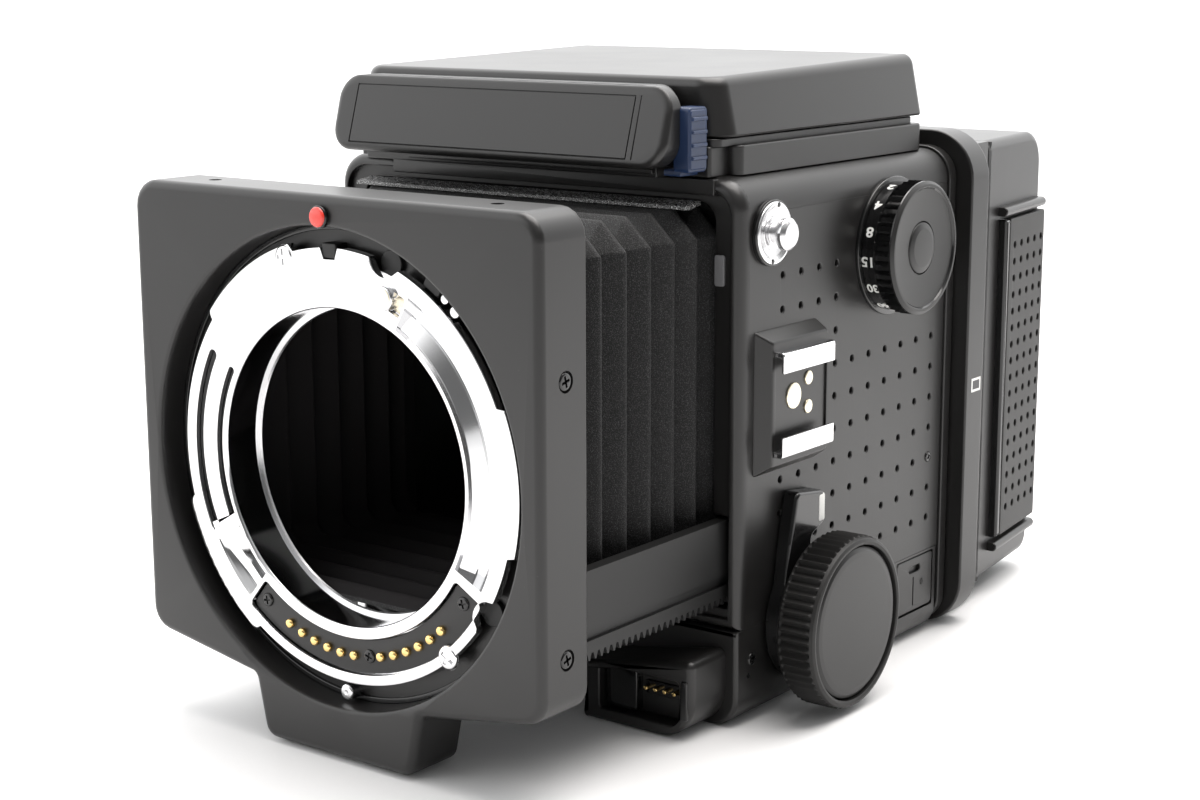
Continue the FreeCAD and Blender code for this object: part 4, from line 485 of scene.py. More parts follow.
class Network:
    """A shader tree in the making."""

    def __init__(self, tree):
        self.tree = tree

    def feed(self, socket, value):
        if isinstance(value, Value):
            self.tree.links.new(value.socket, socket)
        elif socket.type == "RGBA" and len(value) == 3:
            socket.default_value = (*value, 1.0)
        else:
            socket.default_value = value

    def node(self, kind, settings=None, values=None, outlet=None):
        """Any node: its settings first, then its sockets' values or links."""
        node = self.tree.nodes.new(kind)
        for key, setting in (settings or {}).items():
            setattr(node, key, setting)
        for key, value in (values or {}).items():
            if isinstance(key, int):
                socket = node.inputs[key]
            else:
                socket = next(s for s in node.inputs if s.name == key and s.enabled)
            self.feed(socket, value)
        for socket in node.outputs:
            if socket.enabled and outlet in (None, socket.name):
                return Value(self, socket)
        raise RuntimeError("%s has no output %s" % (kind, outlet))

    def between(self, factor, first, second):
        values = {"Factor": factor, "A": first, "B": second}
        return self.node("ShaderNodeMix", {"data_type": "RGBA"}, values, "Result")

    def eased_step(self, value, low, high):
        """Rises from 0 at low to 1 at high, with soft ends."""
        values = {"Value": value, "From Min": low, "From Max": high}
        return self.node("ShaderNodeMapRange", {"interpolation_type": "SMOOTHSTEP"}, values, "Result")

    def vectors(self, kind, first, second, outlet="Vector"):
        return self.node("ShaderNodeVectorMath", {"operation": kind}, {0: first, 1: second}, outlet)


class Finish(Network):
    """A material in the making, built on the principled shader."""

    def __init__(self, name, constants):
        self.material = bpy.data.materials.new(name)
        self.material.use_nodes = True
        super().__init__(self.material.node_tree)
        self.shader = self.tree.nodes["Principled BSDF"]
        for socket, value in constants.items():
            self.feed(self.shader.inputs[socket], value)
        self.here = self.node("ShaderNodeTexCoord", outlet="Object")

    def stretched(self, x, y, z):
        """Places on the object, drawn out along the axes."""
        return self.vectors("MULTIPLY", self.here, (x, y, z))

    def clouds(self, grain, detail=2.0, roughness=0.5, at=None):
        """Noise whose lumps are about grain millimetres across."""
        values = {"Vector": at or self.here, "Scale": 1 / (grain * MM)}
        values.update({"Detail": detail, "Roughness": roughness})
        return self.node("ShaderNodeTexNoise", {}, values, "Fac")

    def cells(self, grain):
        """Distances to scattered points about grain millimetres apart."""
        values = {"Vector": self.here, "Scale": 1 / (grain * MM)}
        return self.node("ShaderNodeTexVoronoi", {}, values, "Distance")

    def relief(self, height, strength, depth):
        """Bumps depth millimetres high."""
        values = {"Strength": strength, "Distance": depth * MM, "Height": height}
        return self.node("ShaderNodeBump", {}, values, "Normal")

    def set(self, **sockets):
        for key, value in sockets.items():
            self.feed(self.shader.inputs[key.replace("_", " ")], value)
        return self.material


def shade(base, factor):
    return tuple(min(1.0, c * factor) for c in base)


def colours():
    return bpy.context.scene.camera_colours


def moulded(name, base, roughness, grain, depth, gloss=0.5):
    """Fine-grained satin plastic or paint: specks, faint handling marks and a grain you can feel."""
    look = Finish(name, {"Specular IOR Level": gloss})
    grains = look.clouds(grain, 3.0, 0.6)
    handling = look.clouds(28.0, 3.0, 0.55)
    dust = look.cells(2.6) < 0.035
    tone = look.between(handling, shade(base, 0.86), shade(base, 1.18))
    tone = look.between(dust * 0.2, tone, (0.12, 0.115, 0.11))
    rough = roughness - 0.05 + handling * 0.08 + grains * 0.05
    return look.set(Base_Color=tone, Roughness=rough, Normal=look.relief(grains, 0.35, depth))


def metal(name, base, roughness, brushed=(1.0, 1.0, 1.0), depth=0.004):
    """Bare or plated metal with faint polishing lines and a few dull patches."""
    look = Finish(name, {"Metallic": 1.0})
    lines = look.clouds(0.5, 2.0, 0.5, look.stretched(*brushed))
    patches = look.clouds(14.0)
    tone = look.between(patches, shade(base, 0.96), shade(base, 1.03))
    rough = roughness + lines * 0.05 + patches * 0.04
    return look.set(Base_Color=tone, Roughness=rough, Normal=look.relief(lines, 0.25, depth))


def clouded(name, constants, noise, tones, rough, bumps=None):
    """A finish whose tone and roughness, and bumps where it has them, follow one noise."""
    look = Finish(name, constants)
    lumps = look.clouds(*noise)
    sockets = {"Base_Color": look.between(lumps, *tones), "Roughness": rough[0] + lumps * rough[1]}
    if bumps:
        sockets["Normal"] = look.relief(lumps, *bumps)
    return look.set(**sockets)


def black_metal(name):
    """Black paint on metal, rubbed thin in places and brushed along the rail."""
    look = Finish(name, {"Specular IOR Level": 0.06, "IOR": 1.3})
    lines = look.clouds(0.4, 2.0, 0.5, look.stretched(6.0, 0.5, 6.0))
    rub = look.clouds(9.0, 4.0, 0.6)
    tone = look.between(rub, (0.004, 0.004, 0.004), (0.012, 0.0115, 0.011))
    return look.set(Base_Color=tone, Roughness=0.34 + lines * 0.12, Normal=look.relief(lines, 0.3, 0.006))


def grained_cloth(name):
    """Leathercloth: small pebbles with creases between them, the pebbles' tops lightened as painted highlights and the
    creases darkened as painted shade.
    """
    look = Finish(name, {"Specular IOR Level": 0.32})
    bend = look.clouds(2.5)
    creases = look.clouds(0.17, 2.0, 0.55)
    # Painted highlights and shade: the grain's high spots are lightened and its creases darkened in the colour,
    # following the bump's noise
    specks = look.eased_step(creases, 0.52, 0.66)
    tone = look.between(specks, shade(colours().cloth, 0.3), shade(colours().cloth, 9.0))
    return look.set(Base_Color=tone, Roughness=0.42 + bend * 0.2, Normal=look.relief(creases, 1.0, 0.12))


def glossy_cloth(name):
    """The same cloth where it is stretched flat and glossy; its bright specks are painted glints."""
    look = Finish(name, {"Specular IOR Level": 0.9})
    painted_glint_noise = look.clouds(0.25, 2.0, 0.6, look.stretched(0.7, 1.4, 1.0))
    rub = look.clouds(4.0)
    # Painted glints: bright grey specks mixed into the colour stand in for highlights on the cloth
    specks = look.eased_step(painted_glint_noise, 0.52, 0.62)
    tone = look.between(specks, shade(colours().cloth, 0.5), (0.42, 0.42, 0.42))
    return look.set(Base_Color=tone, Roughness=0.2 + rub * 0.12, Normal=look.relief(painted_glint_noise, 1.0, 0.2))


def recipes():
    """Each finish's maker and what the maker needs to know; soft and fine are noises."""
    paint = colours()
    soft, fine = (2.0, 0.5), (3.0, 0.6)
    return {
        "satin_moulding": (moulded, paint.moulding, 0.34, 0.32, 0.008),
        "cast_black": (moulded, shade(paint.moulding, 0.9), 0.4, 0.2, 0.008),
        "soft_rubber": (moulded, (0.0125, 0.012, 0.0115), 0.5, 0.25, 0.02, 0.4),
        "dull_black": (moulded, (0.013, 0.0115, 0.012), 0.8, 0.5, 0.02, 0.25),
        "blue_moulding": (moulded, paint.latch, 0.36, 0.25, 0.008),
        "grey_window": (moulded, (0.16, 0.16, 0.165), 0.3, 0.3, 0.006),
        "bright_chrome": (metal, paint.chrome, 0.05),
        "satin_chrome": (metal, shade(paint.chrome, 0.8), 0.2, (1.0, 6.0, 1.0), 0.006),
        "plain_steel": (metal, (0.55, 0.55, 0.56), 0.28, (1.0, 1.0, 8.0), 0.006),
        "gold_contact": (metal, paint.brass, 0.16),
        "pale_brass": (metal, (0.93, 0.85, 0.66), 0.24),
        "black_metal": (black_metal,),
        "grained_cloth": (grained_cloth,),
        "glossy_cloth": (glossy_cloth,),
        "gloss_black": (clouded, {"Coat Weight": 0.3, "Coat Roughness": 0.08, "Specular IOR Level": 0.4},
                        (6.0, *fine), ((0.005, 0.005, 0.0055), (0.008, 0.008, 0.008)),
                        (0.12, 0.12), (0.1, 0.01)),
        "red_enamel": (clouded, {"Coat Weight": 0.6, "Coat Roughness": 0.06}, (1.4, *soft),
                       (shade(paint.index, 0.85), shade(paint.index, 1.12)), (0.22, 0.08)),
        "white_paint": (clouded, {}, (0.5, *fine), (shade(paint.marks, 0.88), paint.marks),
                        (0.4, 0.2), (0.15, 0.01)),
        "mirror_silver": (clouded, {"Metallic": 1.0}, (20.0, *soft),
                          ((0.86, 0.87, 0.88), (0.93, 0.93, 0.94)), (0.015, 0.02)),
        "ground_glass": (clouded, {"Specular IOR Level": 0.5}, (0.12, *soft),
                         ((0.58, 0.6, 0.6), (0.68, 0.7, 0.7)), (0.3, 0.2), (0.2, 0.01)),
        "lens_glass": (clouded, {"Transmission Weight": 1.0, "IOR": 1.52}, (9.0, *soft),
                       ((0.96, 0.98, 1.0), (1.0, 1.0, 1.0)), (0.01, 0.02)),
        "floor_paper": (clouded, {"Specular IOR Level": 0.2}, (1.5, *fine),
                        (shade(paint.floor, 0.99), shade(paint.floor, 1.01)), (0.7, 0.1)),
    }


def finish(kind):
    """The named finish, made the first time that it is asked for."""
    made = bpy.data.materials.get(kind)
    if made:
        return made
    maker, *needs = recipes()[kind]
    return maker(kind, *needs)


class Step:
    """What the operators share: the sizes in millimetres, and the scene they add to."""
    bl_options = {"REGISTER", "UNDO"}

    def size(self, name):
        return getattr(bpy.context.scene.camera_sizes, name) / MM

    def count(self, name):
        return getattr(bpy.context.scene.camera_sizes, name)


class FrontStandard(Step, bpy.types.Operator):
    """Builds the front standard with its chin, mouth, screws and index mark"""
    bl_idname = "bellows_camera.front_standard"
    bl_label = "Front standard"

    def execute(self, context):
        low, high = span("front_standard")
        face, rear = -low.y, -high.y
        half, top, chin = high.x, high.z, low.z
        floor, web = face - 6.5, face - 11.7
        mouth, tube = 45.7, 32.85
        corners = [(19.0, chin, 3.0), (21.6, 13.0, 1.5), (half, 17.8, 5.0), (half, top, 5.3)]
        form = Form()
        outline = eased(both_sides(corners))
        back_rim, front_rim = form.wall(on_front, outline, edge_levels(rear, face, 0.6, 1.7, 6))
        levels = [(0.0, floor), (0.0, face - 1.0), (0.25, face - 0.35), (0.9, face)]
        foot, mouth_rim = form.wall(on_front, disc(0, AXIS, mouth, 128), levels, hollow=True)
        form.cap(on_front, [front_rim, mouth_rim])
        tube_front, tube_rear = [form.ring(on_front, disc(0, AXIS, tube, 128), w) for w in (floor, web)]
        form.skin(foot, tube_front)
        form.skin(tube_rear, tube_front, hollow=True)
        pocket = block(5.0 - half, 22.0, half - 5.0, 104.5, 3.0)
        pocket_front, pocket_rear = form.wall(on_front, pocket, [(0, web), (0, rear)], hollow=True)
        form.cap(on_front, [pocket_front, tube_rear], up=False)
        form.cap(on_front, [back_rim, pocket_rear], up=False)
        shell = settle(form, "front_standard_shell", "satin_moulding", "front_standard", "front")
        seats, screws, lip, mark = forms(4)
        side_line, top_line = -93.0, -92.4
        for u in (-35.4, 35.4):
            seats.rod(on_top, u, top_line, 1.25, top - 2.4, top + 1)
        for z in (78.4, 28.3):
            for place, side, turn in ((on_left, 1, 15.0), (on_right, -1, 40.0)):
                seats.rod(place, side_line * side, z, 2.0, half - 0.7, half + 1)
                screws.screw(place, side_line * side, z, half - 0.6, 1.7, turn, 0.35)
        carve(shell, seats)
        settle(screws, "standard_side_screws", "gloss_black", body="front")
        inner, top_face = mouth - 1.1, floor + 0.7
        profile = [(mouth, floor), (mouth, top_face, 0.2), (inner, top_face, 0.2), (inner, floor)]
        lip.turned(on_front, 0, AXIS, profile, 128, closed=True)
        settle(lip, "mouth_floor_ring", "gloss_black", body="front")
        at_face, z = raised(on_front, face), AXIS + 47.6
        mark.turned(at_face, 0, z, [(0, -0.2), (2.1, -0.2), (2.1, 0.7, 0.2), (1.8, 0.9, 0.3), (0, 1.0)], 40)
        mark.finish = 1
        mark.turned(at_face, 0, z, [(0, 0.6), (1.85, 0.6), (1.85, 1.2, 0.5), (0, 1.5)], 40, steps=6)
        settle(mark, "index_mark", "gloss_black red_enamel", "index_dot", "front")
        return {"FINISHED"}


class LensMount(Step, bpy.types.Operator):
    """Builds the bayonet flange, its slots, lugs, screws, pins and the tube behind it"""
    bl_idname = "bellows_camera.lens_mount"
    bl_label = "Lens mount"

    def execute(self, context):
        low, high = span("mount_ring")
        at_face, rear, seat, under_face = raised(on_front, -low.y), low.y - high.y, -3.3, -1.6
        flange, bore, tube = 41.6, 30.3, 32.8
        outline = [round_lens(reach, degree) for degree, reach in enumerate(self.reaches(flange))]
        form = Form()
        ring_foot, ring_top = form.wall(at_face, outline, edge_levels(under_face, 0, 0.0, 0.22, 3))
        under, collar = form.wall(at_face, disc(0, AXIS, flange - 2.3, 360), [(0, seat), (0, under_face)])
        form.cap(at_face, [ring_foot, collar], up=False)
        rims = [ring_top]
        for inner, outer, start, end, corner, deep, edge in (
                (32.6, 39.6, -129.7, -31.0, 1.0, 2.6, 0.15),
                (37.0, 39.0, 150.0, 206.4, 0.95, 1.8, 0.2),
                (31.6, 33.1, 150.0, 206.4, 0.7, 1.8, 0.15),
                (31.5, 38.5, -27.5, 62.0, 0.0, 2.4, 0.0),
                (31.5, 38.5, -156.0, -131.0, 0.0, 2.4, 0.0),
                (33.8, 37.7, 62.8, 67.5, 0.4, 1.3, 0.1)):
            slot = arc_slot(inner, outer, start, end, corner)
            foot, rim = form.wall(at_face, slot, edge_levels(-deep, 0, 0.0, edge, 4), hollow=True)
            form.cap(at_face, [foot])
            rims.append(rim)
        throat_levels = [(0.0, rear), (0.0, -0.6), (0.12, -0.25), (0.5, 0)]
        throat_rear, throat_rim = form.wall(at_face, disc(0, AXIS, bore, 160), throat_levels, hollow=True)
        form.cap(at_face, [*rims, throat_rim])
        tube_rear, tube_top = [form.ring(at_face, disc(0, AXIS, tube, 160), w) for w in (rear, seat)]
        form.skin(throat_rear, tube_rear, hollow=True)
        form.skin(tube_rear, tube_top)
        form.cap(at_face, [under, tube_top], up=False)
        settle(form, "mount_flange", "bright_chrome", "mount_ring", "front",
               sharp=40, flat=True)
        self.tracks(at_face)
        self.small_fittings(at_face)
        self.contacts(at_face)
        return {"FINISHED"}

    def reaches(self, flange):
        """How far out the flange's rim runs at each degree: three lugs, two scallops and a notch."""
        rim = []
        lug_reach, scallop, notch_reach = 43.15, 3.3, 39.4
        for degree in range(360):
            lug = any(start <= way <= end for way in (degree, degree - 360)
                      for start, end in ((-14, 22), (106, 142), (196, 236)))
            reach = lug_reach if lug else flange
            for centre in (73.1, 327.4):
                off = math.radians(degree - centre) * flange
                if abs(off) < scallop:
                    reach = min(reach, flange + 0.3 - math.sqrt(scallop ** 2 - off ** 2) * 0.9)
            rim.append(min(reach, notch_reach) if 90 <= degree < 95 else reach)
        return rim

    def tracks(self, at_face):
        """The dished tracks in the flange, which give the chrome its bands, and the throat's rear ring."""
        inner, outer, floor = 31.5, 38.5, 2.39
        profile = eased([(inner, 0.0), (31.85, 0.75, 0.3), (34.9, 1.65, 0.1), (35.1, 1.95, 0.1),
                         (37.2, 1.75, 1.0), (38.2, 0.6, 0.4), (outer, 0.0)], closed=False, steps=4)
        form = Form()
        for start, end, fade in ((-27.5, 62.0, 0.0), (-156.0, -131.0, 20.0)):
            count = int(end - start)
            rows = []
            for i in range(count + 1):
                gone = (end - start) * i / count
                share = min(1.0, gone / fade) if fade else 1.0
                share = share * share * (3 - 2 * share)
                section = [(r, 0.01 + depth * share) for r, depth in profile]
                section += [(outer, floor), (inner, floor)]
                places = [at_face(*round_lens(r, start + gone), -depth) for r, depth in section]
                rows.append([form.mesh.verts.new(place) for place in places])
            for first, second in zip(rows, rows[1:]):
                form.skin(first, second)
            form.face(rows[0][::-1])
            form.face(rows[-1])
        settle(form, "mount_channel_tracks", "bright_chrome", body="front", sharp=50)
        ring = Form()
        profile = [(29.5, -8.68), (30.4, -8.68), (30.4, -8.3), (29.7, -8.3)]
        ring.turned(at_face, 0, AXIS, profile, 160, closed=True)
        settle(ring, "throat_rear_ring", "satin_chrome", body="front")

    def small_fittings(self, at_face):
        seat = -3.2
        peg = round_lens(35.8, 69.3)
        bright = Form()
        for radius, degrees, turn in ((41.0, 108.5, 5.0), (40.9, -50.8, 60.0)):
            bright.screw(at_face, *round_lens(radius, degrees), -0.25, 2.35, turn, 0.17)
        bright.rod(at_face, *peg, 2.3, -1.4, 1.1, 0.3, 40)
        bright.rod(at_face, *round_lens(42.9, 48.7), 1.1, seat, -0.5, 0.3, 24)
        bright.rod(at_face, *round_lens(42.9, 53.0), 0.9, seat, -0.8, 0.2, 24)
        settle(bright, "mount_screws_and_peg", "bright_chrome", body="front")
        brass = Form()
        brass.rod(at_face, *peg, 1.9, 1.0, 1.22, 0.1)
        brass.plate(at_face, arc_slot(34.0, 37.5, 63.1, 67.2, 0.4), -1.4, -1.15, 0.0, 0.05)
        settle(brass, "mount_peg_face", "pale_brass", body="front")
        dark = Form()
        dark.plate(at_face, arc_slot(41.9, 44.4, 55.0, 60.5, 0.5), seat, -0.9, 0.0, 0.3)
        u, v = round_lens(40.7, 92.1)
        dark.plate(at_face, block(u - 1.9, v - 1.2, u + 1.6, v + 1.6, 0.3), seat, -0.3, 0.0, 0.25)
        for degrees in (73.1, -32.6):
            dark.rod(at_face, *round_lens(41.2, degrees), 2.5, seat, -2.3, 0.2)
        for inner, outer in ((37.08, 38.92), (31.68, 33.02)):
            dark.plate(at_face, arc_slot(inner, outer, 150.6, 205.8, 0.6), -1.8, -1.1, 0.0, 0.15)
        settle(dark, "mount_catch_parts", "black_metal", body="front")
        low, high = span("lens_lock_pin")
        root = low.y - high.y
        pin = Form()
        profile = [(0, root), (1.6, root), (1.6, 0, 0.45), (0.5, 0.05, 0.2), (0, -0.1)]
        pin.turned(raised(on_front, -low.y), 0, (low.z + high.z) / 2, profile, 32)
        settle(pin, "lens_lock_plunger", "satin_chrome", "lens_lock_pin", "front")

    def contacts(self, at_face):
        top, middle, spread, step = -0.8, -81.4, 48.0, 5.5
        carrier, screws, pins = forms(3)
        slot = arc_slot(32.8, 39.4, middle - spread, middle + spread + 1.6, 1.6)
        carrier.plate(at_face, slot, -2.6, top, 0.0, 0.2)
        settle(carrier, "contact_carrier", "cast_black", "contact_block", "front")
        for degrees, turn in ((-125.7, 10.0), (-80.8, 75.0), (-35.6, 15.0)):
            screws.screw(at_face, *round_lens(36.0, degrees), top, 1.35, turn, 0.3)
        settle(screws, "contact_screws", "gloss_black", body="front")
        profile = [(0, -0.9), (0.95, -0.9), (0.95, -0.35, 0.1), (0.82, 0.0, 0.35), (0, 0.25)]
        for k in range(-6, 7):
            if k:
                pins.turned(at_face, *round_lens(36.1, middle + step * k), profile, 24, steps=5)
        settle(pins, "contact_plungers", "gold_contact", "contact_pins", "front")


class Bellows(Step, bpy.types.Operator):
    """Builds the bellows' cloth folds"""
    bl_idname = "bellows_camera.bellows"
    bl_label = "Bellows"

    def execute(self, context):
        low, high = span("bellows")
        pitch, ridge, deep, thick, steps = 7.6, -82.4, 5.0, 0.9, 10
        crest = self.size("fold_softness") / deep
        count = int((high.y - low.y) / pitch * 2 * steps)
        form = Form()
        outer, inner = [], []
        for rings, shrink in ((outer, 0.0), (inner, thick)):
            for i in range(count + 1):
                y = low.y + (high.y - low.y) * i / count
                fold = abs(2 * (((y - ridge) / pitch) % 1.0) - 1)
                fold = 1 - math.sqrt((1 - fold) ** 2 + crest ** 2) + crest * 0.4
                fold = math.sqrt(max(fold, 0.0) ** 2 + (crest * 0.8) ** 2) - crest * 0.3
                depth = deep * (1 - min(1.0, fold)) + shrink
                chamfer = 6.0 * (0.25 + 0.75 * min(1.0, fold))
                half, up, down = high.x - depth, high.z - depth, low.z + depth
                corners = [(half - chamfer, down, 0.9), (half, down + chamfer, 0.9),
                           (half, up - chamfer, 0.9), (half - chamfer, up, 0.9)]
                points = eased(both_sides(corners), steps=3)
                rings.append([form.mesh.verts.new((u, y, v)) for u, v in points])
        for first, second in zip(outer, outer[1:]):
            form.skin(first, second)
        form.skin(outer[0], inner[0], hollow=True)
        form.skin(outer[-1], inner[-1])
        form.finish = 1
        for first, second in zip(inner, inner[1:]):
            form.skin(first, second, hollow=True)
        finishes = "grained_cloth dull_black"
        flatten(settle(form, "bellows_folds", finishes, "bellows", sharp=60))
        return {"FINISHED"}


class BodyFront(Step, bpy.types.Operator):
    """Builds the frame round the bellows window and the small fittings in it"""
    bl_idname = "bellows_camera.body_front"
    bl_label = "Body front"

    def execute(self, context):
        low, high = span("front_frame")
        half, bottom, top = high.x, low.z, high.z
        face, rear = -low.y, -high.y
        strip, step = 2.3, face - 1.2
        outline, inner, window = [eased(both_sides(corners), steps=8) for corners in (
            [(half, bottom), (half, top, 6.5)],
            [(half - strip, bottom + strip), (half - strip, top - strip, 5.5)],
            [(48.9, bottom + 4.2), (48.9, 42.9, 0.6), (45.3, 42.9, 0.6), (45.3, 104.3, 4.0)])]
        form = Form()
        foot, rim = form.wall(on_front, outline, [(0.0, rear)] + quarter_round(face, 2.1, 2.9, 8))
        step_foot, step_rim = form.wall(on_front, inner, edge_levels(step, face, 0.0, 0.3, 3), hollow=True)
        levels = edge_levels(rear, step, 0.0, 0.35, 4)
        hole_foot, hole_rim = form.wall(on_front, window, levels, hollow=True)
        form.cap(on_front, [rim, step_rim])
        form.cap(on_front, [step_foot, hole_rim])
        form.cap(on_front, [foot, hole_foot], up=False)
        satin(form, "window_frame", "front_frame")

        def rising(u, v, w):
            return (u, v, w + 0.18 * (v + 41.0))

        # A glossy cloth strip along the bellows' top; the bright specks in its colour are painted glints
        band = Form()
        band.plate(rising, block(-43.0, -45.2, 43.0, -40.9, 0.3), 103.75, 104.45, 0.0, 0.2)
        flatten(settle(band, "bellows_head_band", "glossy_cloth"))
        shield = Form()
        shield.plate(on_front, block(45.5, 88.2, 47.7, 94.2, 0.5), face - 1.3, face - 0.7, 0.0, 0.15)
        settle(shield, "frame_window", "grey_window")
        return {"FINISHED"}


# What the side covers' dots keep clear of: boxes and rounds
CLEAR_BOXES = {  # front, rear, low, high
    "left": ((-39.0, -10.0, 51.3, 78.3), (0.0, 33.0, 74.1, 107.1), (-39.1, -22.1, 89.5, 106.5),
             (35.0, 36.0, 38.0, 45.0)),
    "right": ((3.0, 21.0, 33.0, 78.0),),
}
CLEAR_ROUNDS = {  # back, up, radius
    "left": ((*KNOB, 16.0),),
    "right": ((*LEVER, 13.0), (*KNOB, 20.5), (*LUG, 9.0)),
}


class BodySides(Step, bpy.types.Operator):
    """Builds the side covers with their grid of small sunk dots"""
    bl_idname = "bellows_camera.body_sides"
    bl_label = "Side covers"

    def execute(self, context):
        thick = 1.35
        stud = {"left": (*DIAL, 3.0, 6.2), "right": (*LEVER, 4.5, 7.6)}
        for hand, place, side in SIDES:
            node = "side_cover_" + hand
            low, high = span(node)
            holes = [(disc(y * side, z, self.size("side_dot"), 16), None, 0.28) for y, z in self.dots(hand)]
            front, back = sorted((low.y * side, high.y * side))
            form = Form()
            cover = block(front, low.z, back, high.z)
            form.plate(place, cover, BODY_HALF - thick, BODY_HALF, 0.0, 0.12, holes, 2)
            y, z, radius, reach = stud[hand]
            form.rod(place, y * side, z, radius, BODY_HALF - 0.5, BODY_HALF + reach)
            satin(form, "side_skin_" + hand, node)
        screw = Form()
        screw.screw(on_left, 35.4, 41.4, BODY_HALF - 0.05, 1.2, 25.0, 0.3)
        settle(screw, "side_screw", "gloss_black")
        return {"FINISHED"}

    def dots(self, hand):
        """The grid's places that no fitting covers."""
        first, lowest, rise, count = -25.7, 27.6, 6.85, 10
        for i in range(count * count):
            y = first + self.size("side_dot_pitch") * (i % count)
            z = lowest + rise * (i // count)
            boxed = any(y0 < y < y1 and z0 < z < z1 for y0, y1, z0, z1 in CLEAR_BOXES[hand])
            near = any(math.dist((y, z), (v, w)) < radius for v, w, radius in CLEAR_ROUNDS[hand])
            if not boxed and not near:
                yield y, z


class BaseMoulding(Step, bpy.types.Operator):
    """Builds the base with its lobes, cable port, battery door and release"""
    bl_idname = "bellows_camera.base"
    bl_label = "Base"

    def execute(self, context):
        low, high = span("base")
        half, top = BODY_HALF, span("side_cover_left")[0].z
        front, back, lobe = -low.y, high.y, -span("port_lobe")[0].y
        tray, cutter, lobes, marks, feet = forms(5)
        outline = eased([(-half, 0, 6.0), (half, 0, 6.0), (half, top, 0.15), (-half, top, 0.15)], steps=8)
        tray.plate(on_front, outline, -back, front, 0.6, self.size("moulded_edge"), steps=5)
        piece = settle(tray, "base_tray", "satin_moulding", "base")
        bush, bush_top, door_deep = 8.02, 12.6, 2.65
        cutter.rod(on_top, 0, 0, bush, -1, bush_top, count=64)
        cutter.plate(on_left, block(22.75, 6.6, 39.25, 19.45, 0.5), half - door_deep, half + 1)
        carve(piece, cutter)
        right = [(22.8, 0, 0.4), (49.5, 0, 12.0), (49.5, 16.7, 1.6), (22.8, 11.9, 1.2)]
        left = [(-u, v, radius) for u, v, radius in reversed(right)]
        port = (block(27.0, 2.8, 46.4, 12.0, 1.0), lobe - 4.0, 0.4)
        bore = (disc(*RELEASE, 3.75, 32), lobe - 6.0, 0.2)
        for corners, hole in ((right, port), (left, bore)):
            lobes.plate(on_front, eased(corners, steps=9), front - 1.0, lobe, 0.0, 1.5, [hole], 6)
        for place, side in ((on_left, 1), (on_right, -1)):
            lobes.rod(place, KNOB[0] * side, KNOB[1], 6.0, half - 1.0, half + 5.2)
        satin(lobes, "base_lobes", "port_lobe release_lobe")
        self.door(half)
        self.port_fittings(lobe - 4.0)
        self.release(lobe)
        marks.screw(on_left, -35.4, 13.4, half - 0.05, 1.3, 25.0, 0.3)
        marks.rod(on_left, -36.5, 10.2, 0.55, half - 0.3, half + 0.03, 0.02, 24)
        marks.plate(on_front, block(46.9, 4.5, 48.5, 12.5, 0.4), lobe - 0.3, lobe + 0.35, 0.0, 0.25)
        settle(marks, "base_side_marks", "gloss_black")
        for x in (-40, 40):
            for y in (-30, 32):
                feet.rod(on_bottom, x, -y, 3.0, -0.4, -0.02)
        settle(feet, "base_pads", "soft_rubber")
        return {"FINISHED"}

    def door(self, half):
        low, high = span("battery_cover")
        front, rear = 23.0, 39.0
        form = Form()
        outline, notch = [
            eased([(y0, z0, lower), (y1, z0, lower), (y1, z1, upper), (y0, z1, upper)])
            for y0, z0, y1, z1, lower, upper in (
                (front, low.z, rear, high.z, 1.1, 0.8),
                (28.5, high.z - 3.4, 33.5, high.z - 1.9, 0.8, 0.7))]
        seam = block(30.3, low.z + 1.2, 30.7, high.z - 4.4, 0.15)
        holes = [(notch, half - 0.8, 0.2), (seam, half - 0.5, 0.1)]
        form.plate(on_left, outline, low.x, half, 0.3, 0.35, holes)
        form.screw(on_left, 34.2, 13.0, half - 0.3, 1.0, 20.0, 0.3)
        satin(form, "battery_door_leaf", "battery_cover", "battery_door")

    def port_fittings(self, floor):
        pins, inside = forms(2)
        for i in range(4):
            pins.rod(on_front, 36.7 + 2.27 * i, 8.3, 0.5, floor - 0.2, floor + 1.7, 0.25, 16)
        settle(pins, "port_contacts", "gold_contact", "cable_pins")
        inside.plate(on_front, block(27.4, 3.1, 35.0, 11.7, 0.6), floor - 0.1, floor + 2.2, 0.0, 0.3)
        inside.plate(on_front, block(35.9, 6.9, 45.6, 9.7, 0.5), floor - 0.1, floor + 0.35, 0.0, 0.15)
        settle(inside, "port_insert", "gloss_black")

    def release(self, lobe):
        x, z = RELEASE
        seat, at_lobe = 0.1, raised(on_front, lobe)
        collar, button = forms(2)
        profile = [(3.8, seat), (5.8, seat, 0.2), (5.8, 1.7, 0.4), (4.7, 2.4, 0.3), (3.8, 1.8, 0.2)]
        collar.turned(at_lobe, x, z, profile, closed=True)
        tab = block(x - 1.2, z + 5.2, x + 1.2, span("release_collar")[1].z, 0.5)
        collar.plate(at_lobe, tab, seat, 1.8, 0.2, 0.3)
        settle(collar, "release_lock_collar", "satin_chrome", "release_collar", "collar",
               flat=True)
        button.turned(at_lobe, x, z, [(0, -2.5), (3.6, -2.5), (3.6, 3.4, 0.6), (2.6, 3.15, 0.5), (0, 3.0)])
        settle(button, "release_plunger", "bright_chrome", "release_button", "button")


